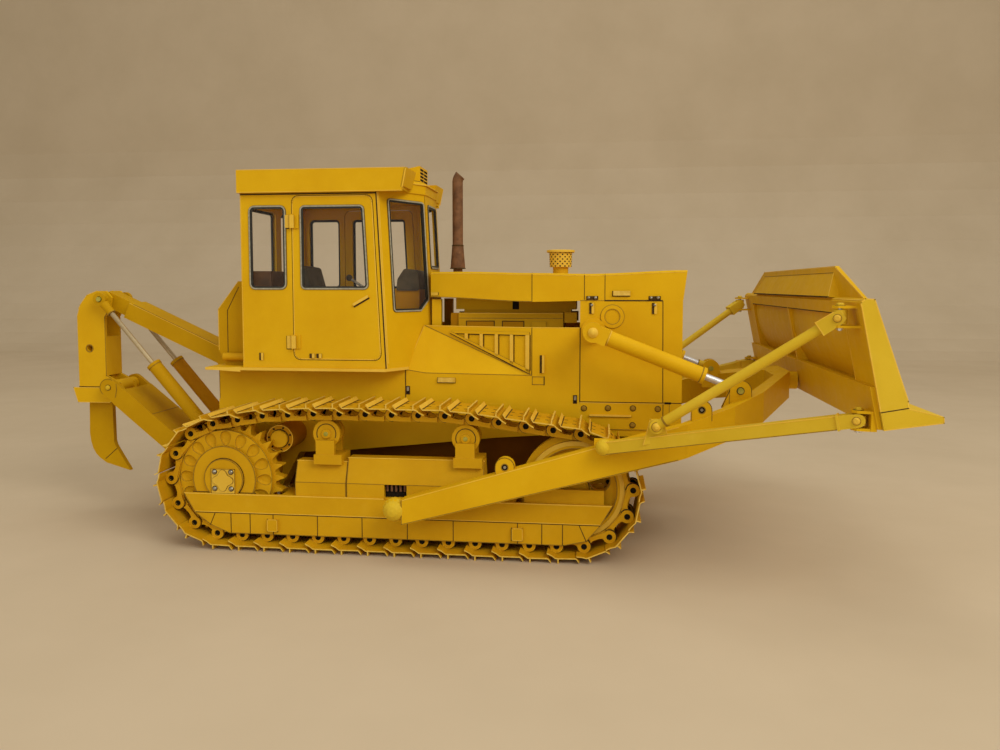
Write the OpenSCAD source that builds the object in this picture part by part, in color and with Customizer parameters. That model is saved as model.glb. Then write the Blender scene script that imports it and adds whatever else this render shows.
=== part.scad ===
// Card scale model of a tracked bulldozer with an angle blade on a C-frame,
// a glazed cab and a single-shank rear ripper. Millimetres, +X forward, +Z up.

/* [Tracks] */
// Width of the track shoes
shoe_w = 20; // [18:0.5:20]
// Distance of the track centre from the machine's middle
track_y = 40; // [40:0.5:41]
// Number of shoes on each track
shoe_n = 40; // [38:1:42]
// Height of a grouser above its shoe plate
grouser_h = 1.4; // [0.8:0.1:1.4]

/* [Cab] */
// Half width of the cab over its side walls
cab_hw = 32; // [30:0.5:32]
// Height of the cab's lower edge
cab_z0 = 64.5; // [64.5:0.1:65]
// Height of the wall tops, under the roof
cab_z1 = 127; // [122:0.5:127]
// Thickness of the side and rear walls
wall_t = 1.6; // [1.2:0.1:1.8]
// Half width of the middle windshield
shield_hw = 10.5; // [9:0.5:11]

/* [Body] */
// Half width of the hood and the lower body
body_hw = 23; // [22:0.5:24]
// Thickness of the folded panels
card_t = 1.2; // [0.8:0.1:1.4]

/* [Blade] */
// Half width of the blade
blade_hw = 91; // [80:0.5:95]
// Half width of the spill plate's top edge
spill_hw = 56; // [40:1:70]
// Radius of the spare strut holes in the C-frame lugs
lug_hole_r = 1.2; // [0.8:0.1:1.4]

/* [Cylinders] */
// Radius of the lift cylinder barrels
lift_r = 2.7; // [2.4:0.1:3]
// Radius of the lift cylinder rods
lift_rod_r = 1.15; // [0.9:0.05:1.2]
// Radius of the ripper cylinder barrels
rip_r = 2.7; // [2.4:0.1:2.9]
// Radius of the ripper cylinder rods
rip_rod_r = 0.95; // [0.8:0.05:1.1]

/* [Ripper] */
// Half thickness of the shank
shank_ht = 2.3; // [1.8:0.1:2.6]
// Radius of the spare hole through the beam
beam_hole_r = 1.3; // [1:0.1:1.5]

/* [Hidden] */
$fn = 48;
// shift that brings the middle of the overall length to X = 0
XO = 63.05;

YELLOW = [0.83, 0.66, 0.12];
SHADE = [0.70, 0.50, 0.06];
DARK = [0.22, 0.21, 0.18];
CHROME = [0.75, 0.75, 0.74];
RUST = [0.45, 0.33, 0.22];
BROWN = [0.40, 0.24, 0.10];
SMOKE = [0.55, 0.58, 0.55, 0.35];

// pivots, as [x, z] before the shift
CFP = [-68.7, 18];
LIFT_T = [-3.2, 77];
LIFT_P = [45.5, 58];
LIFT_Y = 38;
RA = [-150, 12];
RB = [-150, 63.9];
RC = [-201.3, 87.4];
RD = [-198.3, 51.7];
RE = [-150, 27];
RIP_Y = 9;

// ---- shape helpers ----
module at() { translate([XO, 0, 0]) children(); }
module both() { children(); mirror([0, 1, 0]) children(); }
module left() { mirror([0, 1, 0]) children(); }
module bx(x0, x1, y0, y1, z0, z1) { translate([x0, y0, z0]) cube([x1 - x0, y1 - y0, z1 - z0]); }
module pxz(p, y0, y1) { translate([0, y1, 0]) rotate([90, 0, 0]) linear_extrude(y1 - y0) polygon(p); }
module pxy(p, z0, z1) { translate([0, 0, z0]) linear_extrude(z1 - z0) polygon(p); }
module pyz(p, x0, x1) { translate([x0, 0, 0]) rotate([90, 0, 90]) linear_extrude(x1 - x0) polygon(p); }
module cy(c, r, y0, y1) { translate([c[0], y1, c[1]]) rotate([90, 0, 0]) cylinder(h = y1 - y0, r = r); }
function dir(p, q) = atan2(q[1] - p[1], q[0] - p[0]);
function len2(p, q) = norm(q - p);
// round bar in a plane of constant y, from a to b along the line p-q
module rod(p, q, r, y, a, b) {
  translate([p[0], y, p[1]]) rotate([0, 90 - dir(p, q), 0]) translate([0, 0, a]) cylinder(h = b - a, r = r);
}
// flat bar in a plane of constant y, from a to b along p-q, w tall
module bar(p, q, w, y0, y1, a, b) {
  translate([p[0], 0, p[1]]) rotate([0, -dir(p, q), 0]) bx(a, b, y0, y1, -w / 2, w / 2);
}
module rod3(p, q, r) {
  d = q - p;
  translate(p) rotate([0, acos(d[2] / norm(d)), atan2(d[1], d[0])]) cylinder(h = norm(d), r = r);
}
module box3(p, q, w, h) {
  d = q - p;
  translate(p) rotate([0, -atan2(d[2], norm([d[0], d[1]])), atan2(d[1], d[0])] ) translate([0, -w / 2, -h / 2]) cube([norm(d), w, h]);
}
// closed prism: a quad or triangle p carried along v
module prism(p, v) {
  n = len(p);
  polyhedron(points = concat(p, [for (a = p) a + v]),
    faces = concat([[for (i = [n - 1:-1:0]) i]], [[for (i = [0:n - 1]) n + i]],
      [for (i = [0:n - 1]) [i, (i + 1) % n, n + (i + 1) % n, n + i]]));
}
// outline of a bar of half height r from p towards q, with a round end about p
function link_pts(p, q, r, a, b) = let (t = dir(p, q)) concat(
  [for (i = [0:12]) onc(p, r, t + 90 + i * 15)],
  [onc(p, b, t) + [sin(t), -cos(t)] * r, onc(p, b, t) + [-sin(t), cos(t)] * r]);
// outline of a plain bar of height w, from a to b along p-q
function bar_pts(p, q, w, a, b) = let (t = dir(p, q), n = [-sin(t), cos(t)] * w / 2)
  [onc(p, a, t) + n, onc(p, a, t) - n, onc(p, b, t) - n, onc(p, b, t) + n];
module rrect(x0, x1, z0, z1, r) {
  // rounded rectangle in 2D with its corner discs
  translate([x0 + r, z0]) square([x1 - x0 - 2 * r, z1 - z0]);
  translate([x0, z0 + r]) square([x1 - x0, z1 - z0 - 2 * r]);
  for (x = [x0 + r, x1 - r], z = [z0 + r, z1 - r]) translate([x, z]) circle(r);
}
module wxz(y0, y1) { translate([0, y1, 0]) rotate([90, 0, 0]) linear_extrude(y1 - y0) children(); }

function unit(v) = v / norm(v);
function turn(a) = a > 180 ? a - 360 : a < -180 ? a + 360 : a;
// corner q between p and s, rounded to radius r
function rcorner(p, q, s, r) = let (u = unit(p - q), v = unit(s - q), h = acos(u * v) / 2,
    c = q + unit(u + v) * r / sin(h), t = r / tan(h), e = q + u * t - c, f = q + v * t - c,
    a = atan2(e[1], e[0]), d = turn(atan2(f[1], f[0]) - a))
  [for (i = [0:5]) onc(c, r, a + d * i / 5)];
function rpoly(g, r) = let (n = len(g)) [for (i = [0:n - 1]) each rcorner(g[(i + n - 1) % n], g[i], g[(i + 1) % n], r)];

// ---- track path: pin centres around sprocket, idler and carrier rollers ----
SC = [-133.2, 24.3];
IC = [-8.8, 23.7];
SR = 20;
IR = 19.4;
K0 = [-119, 47.1];
K1 = [-97, 48.4];
K2 = [-50, 48.3];
function tang(c, r, k, sgn) = atan2(k[1] - c[1], k[0] - c[0]) + sgn * acos(r / norm(k - c));
IA = tang(IC, IR, K2, -1);
SA = tang(SC, SR, K0, 1);
function onc(c, r, a) = [c[0] + r * cos(a), c[1] + r * sin(a)];
function path(off) = concat(
  [for (i = [0:24]) onc(IC, IR + off, -90 + (IA + 90) * i / 24)],
  [K2 + [0, off], K1 + [0, off], K0 + [0, off]],
  [for (i = [0:24]) onc(SC, SR + off, SA + (270 - SA) * i / 24)]);
PP = concat(path(0), [path(0)[0]]);
function cum(i) = i == 0 ? 0 : cum(i - 1) + norm(PP[i] - PP[i - 1]);
CUM = [for (i = [0:len(PP) - 1]) cum(i)];
PLEN = CUM[len(PP) - 1];
TX = [for (i = [0:len(PP) - 1]) [CUM[i], PP[i][0]]];
TZ = [for (i = [0:len(PP) - 1]) [CUM[i], PP[i][1]]];
function wrap(s) = s - PLEN * floor(s / PLEN);
function pos(s) = [lookup(wrap(s), TX), lookup(wrap(s), TZ)];
function nrm(s) = let (d = pos(s + 1.5) - pos(s - 1.5)) [d[1], -d[0]] / norm(d);
PITCH = PLEN / shoe_n;
SHOE = [[0.2, 2.3], [0.33, 2.9], [0.37, 2.9], [0.38, 2.9 + grouser_h], [0.44, 2.9 + grouser_h], [0.45, 2.9], [1.06, 2.9], [1.17, 3.4]];
module shoe_outline() {
  difference() {
    polygon([for (i = [0:shoe_n - 1], k = SHOE) pos((i + k[0]) * PITCH) + nrm((i + k[0]) * PITCH) * k[1]]);
    polygon(path(1.7));
  }
}
module rail_outline() { difference() { polygon(path(2.0)); polygon(path(-2.4)); } }
module track() {
  wxz(-track_y - shoe_w / 2, -track_y + shoe_w / 2) shoe_outline();
  wxz(-44.5, -42.2) rail_outline();
  wxz(-37.6, -35.3) rail_outline();
}

// ---- lower body ----
module main_frame() { color(SHADE) at() {
  bx(-145, -8.1, -body_hw, body_hw, 14, 49.8);
  bx(-8.2, 21.6, -body_hw, body_hw, 17, 41);
  bx(-144.7, -72.5, -body_hw, body_hw, 49.7, 63);
  // brackets and pins of the ripper
  both() {
    pxz([[-144.9, 14.2], [-144.9, 18.4], [-150, 16.2], [-152.9, 15], [-154.2, 12], [-152.9, 9], [-150, 7.8], [-147, 9], [-146, 12]], 8.3, 10.3);
    bx(-150, -144.9, 4.4, 6, 24, 30); cy(RE, 3, 4.4, 6);
    bx(-150, -144.9, 12, 13.6, 24, 30); cy(RE, 3, 12, 13.6);
    cy(RE, 1, 5.9, 12.1);
    bx(-150, -144.6, 6.3, 7.8, 56, 62.8); cy(RB, 3.4, 6.3, 7.8);
  }
  cy(RA, 1.4, -9, 9);
  cy(RB, 1.2, -7, 7);
} }
module nose_plate() { color(YELLOW) at() bx(-8.1, 28.1, -body_hw, body_hw, 41, 51); }
FA = [-70.5, -body_hw, 63.2]; FB = [-66.7, -15.2, 78]; FC = [-25.4, -body_hw, 61]; FD = [-25.4, -body_hw, 77.8];
module side_panel() {
  pxz([[-72.4, 49.8], [-8.2, 49.8], [-8.2, 77.8], [-25.4, 77.8], [-25.4, 61], [-70.5, 63.2], [-70.5, 62.9], [-72.4, 62.9]], -body_hw, -body_hw + card_t);
  prism([FA, FC, FB], [0, card_t, 0]);
  prism([FC, FD, FB], [0, card_t, 0]);
}
module side_panel_right() { color(YELLOW) at() side_panel(); }
module side_panel_left() { color(YELLOW) at() left() side_panel(); }
module radiator_housing() { color(YELLOW) at() {
  difference() {
    bx(-8.1, 28.1, -body_hw, body_hw, 51, 87.7);
    bx(25.1, 29, -19, 19, 55, 84);
  }
  both() {
    cy(LIFT_T, 4.2, -25, -body_hw);
    cy(LIFT_T, 2.8, -34.9, -24.9);
    cy(LIFT_T, 1.3, -40.9, -34.8);
  }
} }
module radiator_grille() { color(DARK) at() {
  bx(25.1, 26, -18.9, 18.9, 55.1, 83.9);
  for (i = [0:8]) bx(25.9, 27.4, -18.9, 18.9, 56 + i * 3.2, 57.4 + i * 3.2);
} }
module hood() { color(YELLOW) at() difference() {
  pxy([[29, -body_hw], [29, body_hw], [-25.4, body_hw], [-64.4, 14], [-64.4, -14], [-25.4, -body_hw]], 87.7, 98);
  pxy([[-8.1, -body_hw + card_t], [-8.1, body_hw - card_t], [-25.4, body_hw - card_t], [-63.2, 12.8], [-63.2, -12.8], [-25.4, -body_hw + card_t]], 87, 96.8);
} }
module firewall() { color(SHADE) at() {
  both() bx(-64.1, -60.6, 10.9, 12.4, 49.8, 87.7);
  bx(-62.9, -61.6, -11, 11, 49.8, 66);
} }
module engine_block() { color(SHADE) at() {
  bx(-55, -9.5, -11, 11, 49.8, 76);
  bx(-54.2, -14.7, -11.5, 11.5, 75.9, 82.6);
  bx(-53, -12, -6, 6, 82.5, 88);
  for (i = [0:3]) bx(-51 + i * 9.6, -45.5 + i * 9.6, -13, -10.9, 64, 75);
  for (i = [0:3]) bx(-51 + i * 9.6, -45.5 + i * 9.6, 10.9, 13, 64, 75);
} }
module exhaust_pipe() { color(RUST) at() translate([-56.5, 0, 0]) {
  translate([0, 0, 98]) cylinder(h = 1.6, r = 1.8);
  translate([0, 0, 99.5]) cylinder(h = 9, r1 = 2.9, r2 = 2.2);
  translate([0, 0, 108.4]) cylinder(h = 24.5, r = 2.05);
  translate([4, 0, 132.85]) rotate([90, 0, 180]) rotate_extrude(angle = 42) translate([4, 0]) circle(2.05);
} }
module air_cleaner() { color(YELLOW) at() translate([-16.3, 0, 0]) {
  translate([0, 0, 98]) cylinder(h = 2.1, r = 2.95);
  translate([0, 0, 100]) cylinder(h = 5.6, r = 4.3);
  translate([0, 0, 105.5]) cylinder(h = 1.1, r = 5.4);
} }
module deck_plate() { color(YELLOW) at() pxy([[-145, -33.6], [-77.4, -33.6], [-71, -23.6], [-71, -20], [-65, -12], [-65, 12], [-71, 20], [-71, 23.6], [-77.4, 33.6], [-145, 33.6]], 63, 64.5); }
module fuel_tank() { color(YELLOW) at() {
  pxz([[-131, 64.5], [-131, 94.5], [-136.5, 94.5], [-144.7, 84], [-144.7, 68.5], [-142.2, 64.5]], -body_hw, body_hw);
} }

// ---- cab ----
LEAN = 0.05;
function xs(z) = -76.6 - LEAN * (z - 64.5);
function xc(z) = -64.1 - LEAN * (z - 64.5);
DZ0 = 66; DZ1 = 125; DX0 = -111.5;
function dx1(z) = -78.9 - 0.049 * (z - DZ0);
module cab_side() { difference() {
  pxz([[-131, cab_z0], [xs(cab_z0), cab_z0], [xs(cab_z1), cab_z1], [-131, cab_z1]], -cab_hw, -cab_hw + wall_t);
  pxz(rpoly([[DX0 - 0.25, DZ0 - 0.25], [dx1(DZ0) + 0.25, DZ0 - 0.25], [dx1(DZ1) + 0.25, DZ1 + 0.25], [DX0 - 0.25, DZ1 + 0.25]], 2.65), -cab_hw - 1, -cab_hw + 3);
  wxz(-cab_hw - 1, -cab_hw + 3) rrect(-127.6, -113.9, 91.6, 121.5, 2);
} }
module cab_right_wall() { color(YELLOW) at() cab_side(); }
module cab_left_wall() { color(YELLOW) at() left() cab_side(); }
module cab_rear_wall() { color(YELLOW) at() difference() {
  bx(-131, -131 + wall_t, -cab_hw + wall_t, cab_hw - wall_t, cab_z0, cab_z1);
  for (s = [-1, 1]) translate([-132, 0, 0]) rotate([90, 0, 90]) linear_extrude(4) rrect(s * 15.2 - 12.6, s * 15.2 + 12.6, 96.5, 121.5, 2);
} }
CT = 2.2;
module corner_quad(y0, y1, za, zb, v) {
  // y0..y1 along the swept corner, za..zb in height
  t0 = (y0 + cab_hw) / (cab_hw - shield_hw);
  t1 = (y1 + cab_hw) / (cab_hw - shield_hw);
  prism([[xs(za) + 12.5 * t0, y0, za], [xs(za) + 12.5 * t1, y1, za], [xs(zb) + 12.5 * t1, y1, zb], [xs(zb) + 12.5 * t0, y0, zb]], v);
}
CWIN = rpoly([[-28.1, 83.4], [-15.6, 83.4], [-11.6, 87.5], [-11.6, 124], [-28.1, 124]], 1.2);
module cab_corner() { difference() {
  corner_quad(-cab_hw, -shield_hw, cab_z0, cab_z1, [0, CT, 0]);
  translate([0, -3, 0]) prism([
    for (q = CWIN)
      [xs(q[1]) + 12.5 * (q[0] + cab_hw) / (cab_hw - shield_hw), q[0], q[1]]], [0, 9, 0]);
} }
module cab_corner_right() { color(YELLOW) at() cab_corner(); }
module cab_corner_left() { color(YELLOW) at() left() cab_corner(); }
module windshield_wall() { color(YELLOW) at() difference() {
  pxz([[xc(cab_z0) - 1.4, cab_z0], [xc(cab_z0), cab_z0], [xc(cab_z1), cab_z1], [xc(cab_z1) - 1.4, cab_z1]], -shield_hw + CT, shield_hw - CT);
  translate([-72, 0, 0]) rotate([90, 0, 90]) linear_extrude(12) rrect(-7.4, 7.4, 99.5, 123.5, 1.5);
} }
module cab_roof() { color(YELLOW) at() {
  pxy([[-131.4, -34], [-70.5, -34], [-71.5, -18.9], [-66.9, -11], [-66.9, 11], [-71.5, 18.9], [-70.5, 34], [-131.4, 34]], 127, 130.3);
  bx(-131.4, -80, -34, 34, 130.2, 134.3);
  both() {
    pxz([[-80.1, 128], [-70.3, 128], [-68.7, 134.3], [-80.1, 134.3]], -34, -18.9);
    // drip edge outside the wall
    bx(-131.4, -70.6, -34, -cab_hw - 0.15, 126.1, 127.1);
  }
} }
// wedge-shaped air box with a flared skirt
module roof_visor() { color(YELLOW) at() {
  intersection() {
    pxz([[-79.9, 130.3], [-69.9, 130.3], [-69.9, 138.5], [-77.8, 134.4], [-79.9, 134.4]], -18.7, 18.7);
    pxy([[-79.9, -18.7], [-76.7, -18.7], [-69.9, -7], [-69.9, 7], [-76.7, 18.7], [-79.9, 18.7]], 130, 140);
  }
  hull() {
    pxy([[-79.9, -18.7], [-71.4, -18.7], [-66.3, -11.3], [-66.3, 11.3], [-71.4, 18.7], [-79.9, 18.7]], 130.3, 130.7);
    pxy([[-79.9, -18.7], [-76.5, -18.7], [-69.7, -7.1], [-69.7, 7.1], [-76.5, 18.7], [-79.9, 18.7]], 131.5, 132.4);
  }
} }
module side_pane() { wxz(-cab_hw + 0.5, -cab_hw + 0.9) rrect(-127.6, -113.9, 91.6, 121.5, 2); }
module corner_pane() {
  translate([0, 0.9, 0]) prism([
    for (q = CWIN)
      [xs(q[1]) + 12.5 * (q[0] + cab_hw) / (cab_hw - shield_hw), q[0], q[1]]], [0, 0.8, 0]);
}
module cab_glass() { color(SMOKE) at() {
  both() { side_pane(); corner_pane(); }
  for (s = [-1, 1]) translate([-130.5, 0, 0]) rotate([90, 0, 90]) linear_extrude(0.4) rrect(s * 15.2 - 12.6, s * 15.2 + 12.6, 96.5, 121.5, 2);
  intersection() {
    pxz([[xc(98) - 0.9, 98], [xc(98) - 0.5, 98], [xc(125) - 0.5, 125], [xc(125) - 0.9, 125]], -8, 8);
    translate([-74, 0, 0]) rotate([90, 0, 90]) linear_extrude(14) rrect(-7.35, 7.35, 99.55, 123.45, 1.5);
  }
} }
module operator_seat() { color(BROWN) at() {
  bx(-118, -104, -8, 8, 64.5, 74);
  bx(-119, -102, -9, 9, 74, 79.5);
  pxz([[-119.6, 79.4], [-111, 79.4], [-110.8, 92.6], [-113, 100], [-119.2, 100.9], [-121.4, 98]], -8.9, 8.9);
  both() bx(-117, -104, 11, 13.5, 64.5, 84);
} }
module control_console() { color(DARK) at() {
  bx(-81.7, -70.4, -7, 7, 64.5, 91.2);
  pxz([[-79.4, 91.1], [-70.2, 91.1], [-70.8, 98.6], [-76.2, 99.4], [-78.9, 95.4]], -7.6, 7.6);
  both() rod3([-92, 10, 64.5], [-94, 11, 88], 0.8);
} }
HIN = [-111.4, -cab_hw - 0.7];
DWIN = rpoly([[-108.3, 91.6], [-83.4, 91.6], [-84.9, 121.4], [-108.3, 121.4]], 1.6);
module door_panel() {
  difference() {
    pxz(rpoly([[DX0, DZ0], [dx1(DZ0), DZ0], [dx1(DZ1), DZ1], [DX0, DZ1]], 2.4), -cab_hw, -cab_hw + wall_t);
    pxz(DWIN, -cab_hw - 1, -cab_hw + 3);
  }
  // hinge knuckles with their leaves
  for (z = [70, 113.4]) {
    translate([HIN[0], HIN[1], z]) cylinder(h = 5, r = 0.8);
    bx(-111.2, -108.9, -cab_hw - 0.5, -cab_hw + 0.1, z, z + 5);
  }
}
module door_pane() { pxz(DWIN, -cab_hw + 0.5, -cab_hw + 0.9); }
module door_right() { color(YELLOW) at() door_panel(); }
module door_left() { color(YELLOW) at() left() door_panel(); }
module door_right_glass() { color(SMOKE) at() door_pane(); }
module door_left_glass() { color(SMOKE) at() left() door_pane(); }

// ---- undercarriage ----
GUARD = [[-148, 19.2], [-143.9, 12.1], [-138, 7.8], [-131.2, 5], [-12.5, 5], [-5, 6.6], [-0.3, 12.1], [3.8, 19.2]];
// recoil housing: chamfered section between the guards
module housing(x0, x1, top) {
  pyz([[-45.4, 19.1], [-45.4, 24], [-42.6, top], [-37.4, top], [-34.6, 24], [-34.6, 19.1]], x0, x1);
}
module track_frame() {
  difference() { pxz(GUARD, -46, -44.8); bx(-74.8, -66.8, -47, -44, 18.6, 20); }
  pxz([[-116.5, 19.2], [-116.5, 5], [-12.5, 5], [-5, 6.6], [-0.3, 12.1], [3.8, 19.2]], -35.2, -34);
  bx(-112, -29, -44.9, -35.1, 13.9, 19.2);
  difference() {
    union() { housing(-106.8, -88.5, 31.2); housing(-88.2, -40, 32.6); }
    bx(-74.8, -66.8, -47, -42.5, 18, 24);
  }
  // posts and base plates of the carrier rollers
  for (c = [-95.9, -46.4]) {
    bx(c - 3.3, c + 3.3, -45.2, -43.6, 33.8, 38.9);
    bx(c - 3.3, c + 3.3, -36, -35, 33.8, 40.5);
    bx(c - 4, c + 6, -45.4, -35, 30.5, 33.9);
  }
  // yoke plates of the idler
  bx(-26, 0.9, -44.9, -43.5, 19.1, 23.9);
  bx(-26, 0.9, -36.2, -35.1, 19.1, 23.9);
  // outer bearing of the sprocket: half disc, arch and square plate standing on the guard
  intersection() { cy(SC, 11.7, -44.9, -44.1); bx(-150, -115, -46, -44, 19.1, 40); }
  intersection() { cy(SC, 7.2, -45.6, -44.8); bx(-150, -115, -46, -44, 19.1, 40); }
  bx(SC[0] - 4.4, SC[0] + 4.4, -46, -45.5, 19.1, 28);
  // trunnion of the C-frame
  cy(CFP, 2, -50.1, -45.9);
  // square step lugs on the guard
  for (x = [-114.9, -28.2]) bx(x - 1.8, x + 1.8, -47, -45.9, 6.4, 10.6);
}
module track_frame_right() { color(YELLOW) at() track_frame(); }
module track_frame_left() { color(YELLOW) at() left() track_frame(); }
TEETH = 28;
function tooth(i) = [for (k = [[-0.42, 17.7], [-0.1, 20.8], [0.1, 20.8], [0.42, 17.7]]) onc(SC, k[1], (i + k[0]) * 360 / TEETH)];
module sprockets() { color(YELLOW) at() both() {
  wxz(-41.8, -37.9) polygon([for (i = [0:TEETH - 1]) each tooth(i)]);
  cy(SC, 17.2, -43.6, -41.8);
} }
module idlers() { color(YELLOW) at() both() difference() {
  union() {
    cy(IC, 16.6, -43.2, -36.6);
    cy(IC, 18.8, -41.7, -38.1);
  }
  // dished web with lightening holes
  cy(IC, 14, -44, -41.2);
  cy(IC, 14, -38.6, -36);
  for (i = [0:4]) cy(onc(IC, 8.6, 18 + i * 72), 3.4, -45, -35);
} }
module carrier_rollers() { color(YELLOW) at() both() {
  for (c = [[-95.9, 41], [-46.4, 40.3]]) {
    cy(c, 4.5, -43.3, -41.2);
    cy(c, 3.6, -41.2, -38.2);
    cy(c, 4.5, -38.2, -36.3);
  }
} }
module track_rollers() { color(SHADE) at() both() for (i = [0:6]) cy([-112 + i * 14, 10.1], 3, -44.5, -35.5); }
module final_drives() { color(SHADE) at() both() {
  cy(SC, 13, -37.6, -body_hw);
  cy([-115.4, 37.7], 4.9, -37.2, -body_hw);
} }
module cross_shafts() { color(SHADE) at() both() {
  cy([-100, 16.5], 2.4, -34, -body_hw);
  cy([-40, 16.5], 2.4, -34, -body_hw);
} }
module track_right() { color(YELLOW) at() track(); }
module track_left() { color(YELLOW) at() left() track(); }

// ---- blade lift body ----
CF_OUT = [[-66, -57], [27, -57], [42.5, -50], [53.5, -38.5], [67.6, -11], [67.6, 0]];
CF_IN = [[62.4, 0], [62.4, -9.5], [47.6, -36], [38.5, -46], [25.5, -52], [-66, -52]];
module c_frame_half() {
  intersection() {
    pxy(concat(CF_OUT, CF_IN), 0, 80);
    pxz([[-66, 13.3], [24, 37.3], [76, 55], [76, 64.5], [24, 48.2], [-1.5, 41], [-66, 21.8]], -60, 0);
  }
  translate([CFP[0], -54.5, CFP[1]]) sphere(4);
  // spare strut lugs
  difference() {
    union() { bx(-34.4, -28.4, -56, -53, 28, 33.5); cy([-31.4, 33.5], 3.2, -56, -53); }
    cy([-31.4, 33.5], lug_hole_r, -57, -52);
  }
  difference() {
    union() { bx(28.4, 34.8, -53.6, -50.6, 44, 53.2); cy([31.6, 53.2], 3.2, -53.6, -50.6); }
    cy([31.6, 53.2], lug_hole_r, -55, -49);
  }
  // strut seat
  bx(-2.4, 3.6, -57, -54, 38, 43.5);
  // lift lug ears
  for (y = [[-41.2, -39.7], [-36.3, -34.8]]) { bx(41.8, 49.2, y[0], y[1], 50, 58); cy(LIFT_P, 3.6, y[0], y[1]); }
}
module c_frame() { color(YELLOW) at() {
  both() c_frame_half();
  // middle ball socket
  translate([63, 0, 57.4]) rotate([0, 90, 0]) cylinder(h = 9.4, r = 3.3);
} }
// profile of the blade: rear edge straight, front of the mouldboard hollow between the end plates
function bfront(t) = [71.7 + 9.4 * t - 3.4 * sin(180 * t), 89.2 - 29 * t];
BFR = [for (i = [0:14]) bfront(i / 14)];
function brear(z) = 68 + (88.3 - z) * 0.2023;
// back of the mouldboard as seen in the pockets
PZ0 = 65; PZ1 = 84.4;
BFB = [for (i = [0:10]) bfront((89.2 - PZ1 + (PZ1 - PZ0) * i / 10) / 29) - [1.3, 0]];
module blade() { color(YELLOW) at() {
  difference() {
    pxz(concat([[brear(58.9), 58.9], [68, 88.3], [69.2, 89.4]], BFR), -blade_hw, blade_hw);
    for (s = [-1, 1]) pxz(concat([[64, PZ0], [64, PZ1]], BFB), s == 1 ? 0.7 : -73, s == 1 ? 73 : -0.7);
  }
  // end plates with a straight front edge
  both() pxz([[brear(58.9), 58.9], [68, 88.3], [69.2, 89.4], [71.7, 89.2], [81, 62], [81.1, 60.2]], blade_hw - 1.4, blade_hw);
  // lower rear rail
  pxz([[73.75, 54], [71.4, 65.6], [73.2, 65.6], [74.3, 59.4], [73.9, 58.9], [74.88, 54]], -blade_hw + 1.2, blade_hw - 1.2);
  // spill plate over the top edge, with the wedge at its back
  pyz([[-blade_hw + 5, 88.9], [blade_hw - 5, 88.9], [spill_hw, 98.8], [-spill_hw, 98.8]], 70.4, 71.6);
  intersection() {
    pxz([[67.2, 89.3], [70.5, 89.3], [70.5, 96.8]], -70, 70);
    pyz([[-63, 88], [63, 88], [53, 99], [-53, 99]], 66, 72);
  }
  // clevis ears with vertical pins for the struts and braces
  both() {
    for (z = [[53.3, 54], [58.1, 58.8]]) pxy([[67.8, 85.4], [68.8, 83.8], [73.6, 83.4], [73.6, 89.4], [68.8, 88.4], [67.8, 86.8]], z[0], z[1]);
    bx(72.2, 73.7, 83.5, 89.3, 53.3, 58.8);
    translate([STR_P[0], -STR_P[1], 53.4]) cylinder(h = 5.3, r = 0.6);
    for (z = [[81.2, 81.9], [86.6, 87.3]]) pxy([[62.4, 84], [63.6, 82.2], [69.7, 82], [69.7, 87.4], [63.6, 86.6], [62.4, 85]], z[0], z[1]);
    translate([BRA_Q[0], -BRA_Q[1], 81.3]) cylinder(h = 5.9, r = 0.6);
  }
} }
module cutting_edge() { color(YELLOW) at() pxz([[74.04, 58.75], [81.1, 60.05], [90.1, 58], [90.2, 56.2], [75.02, 53.9]], -blade_hw, blade_hw); }
// strut from its seat on the C-frame to the lower clevis, with the ear of the brace
STR_O = [0.6, -59.3, 41.4];
STR_P = [69.8, -86.1, 56.05];
BRA_P = [16.4, -68, 50];
BRA_Q = [64.6, -84.5, 84.2];
module strut() {
  difference() {
    union() {
      box3(STR_O, STR_O + (STR_P - STR_O) * 0.93, 4, 4);
      box3(STR_O + (STR_P - STR_O) * 0.92, STR_O + (STR_P - STR_O) * 0.985, 3.2, 2.4);
      translate([STR_P[0], STR_P[1], 54.75]) cylinder(h = 2.6, r = 2);
    }
    translate([STR_P[0], STR_P[1], 50]) cylinder(h = 12, r = 0.75);
  }
  cy([2.4, 41.7], 1.5, -58.2, -57.03);
  pxz([[12.6, 44], [20.6, 45.6], [18.4, 52], [14.6, 52]], -66.9, -65.7);
  cy([BRA_P[0], BRA_P[2]], 0.6, -69.4, -66.8);
}
module strut_right() { color(YELLOW) at() strut(); }
module strut_left() { color(YELLOW) at() left() strut(); }
module brace() {
  difference() {
    union() {
      cy([BRA_P[0], BRA_P[2]], 2.1, -68.9, -67.1);
      rod3(BRA_P + (BRA_Q - BRA_P) * 0.02, BRA_P + (BRA_Q - BRA_P) * 0.93, 1.5);
      box3(BRA_P + (BRA_Q - BRA_P) * 0.91, BRA_P + (BRA_Q - BRA_P) * 0.985, 2.4, 1.7);
      translate([BRA_Q[0], BRA_Q[1], 82.3]) cylinder(h = 3.9, r = 1.9);
    }
    cy([BRA_P[0], BRA_P[2]], 0.75, -70, -66);
    translate([BRA_Q[0], BRA_Q[1], 80]) cylinder(h = 8, r = 0.75);
  }
}
module brace_right() { color(YELLOW) at() brace(); }
module brace_left() { color(YELLOW) at() left() brace(); }

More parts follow.
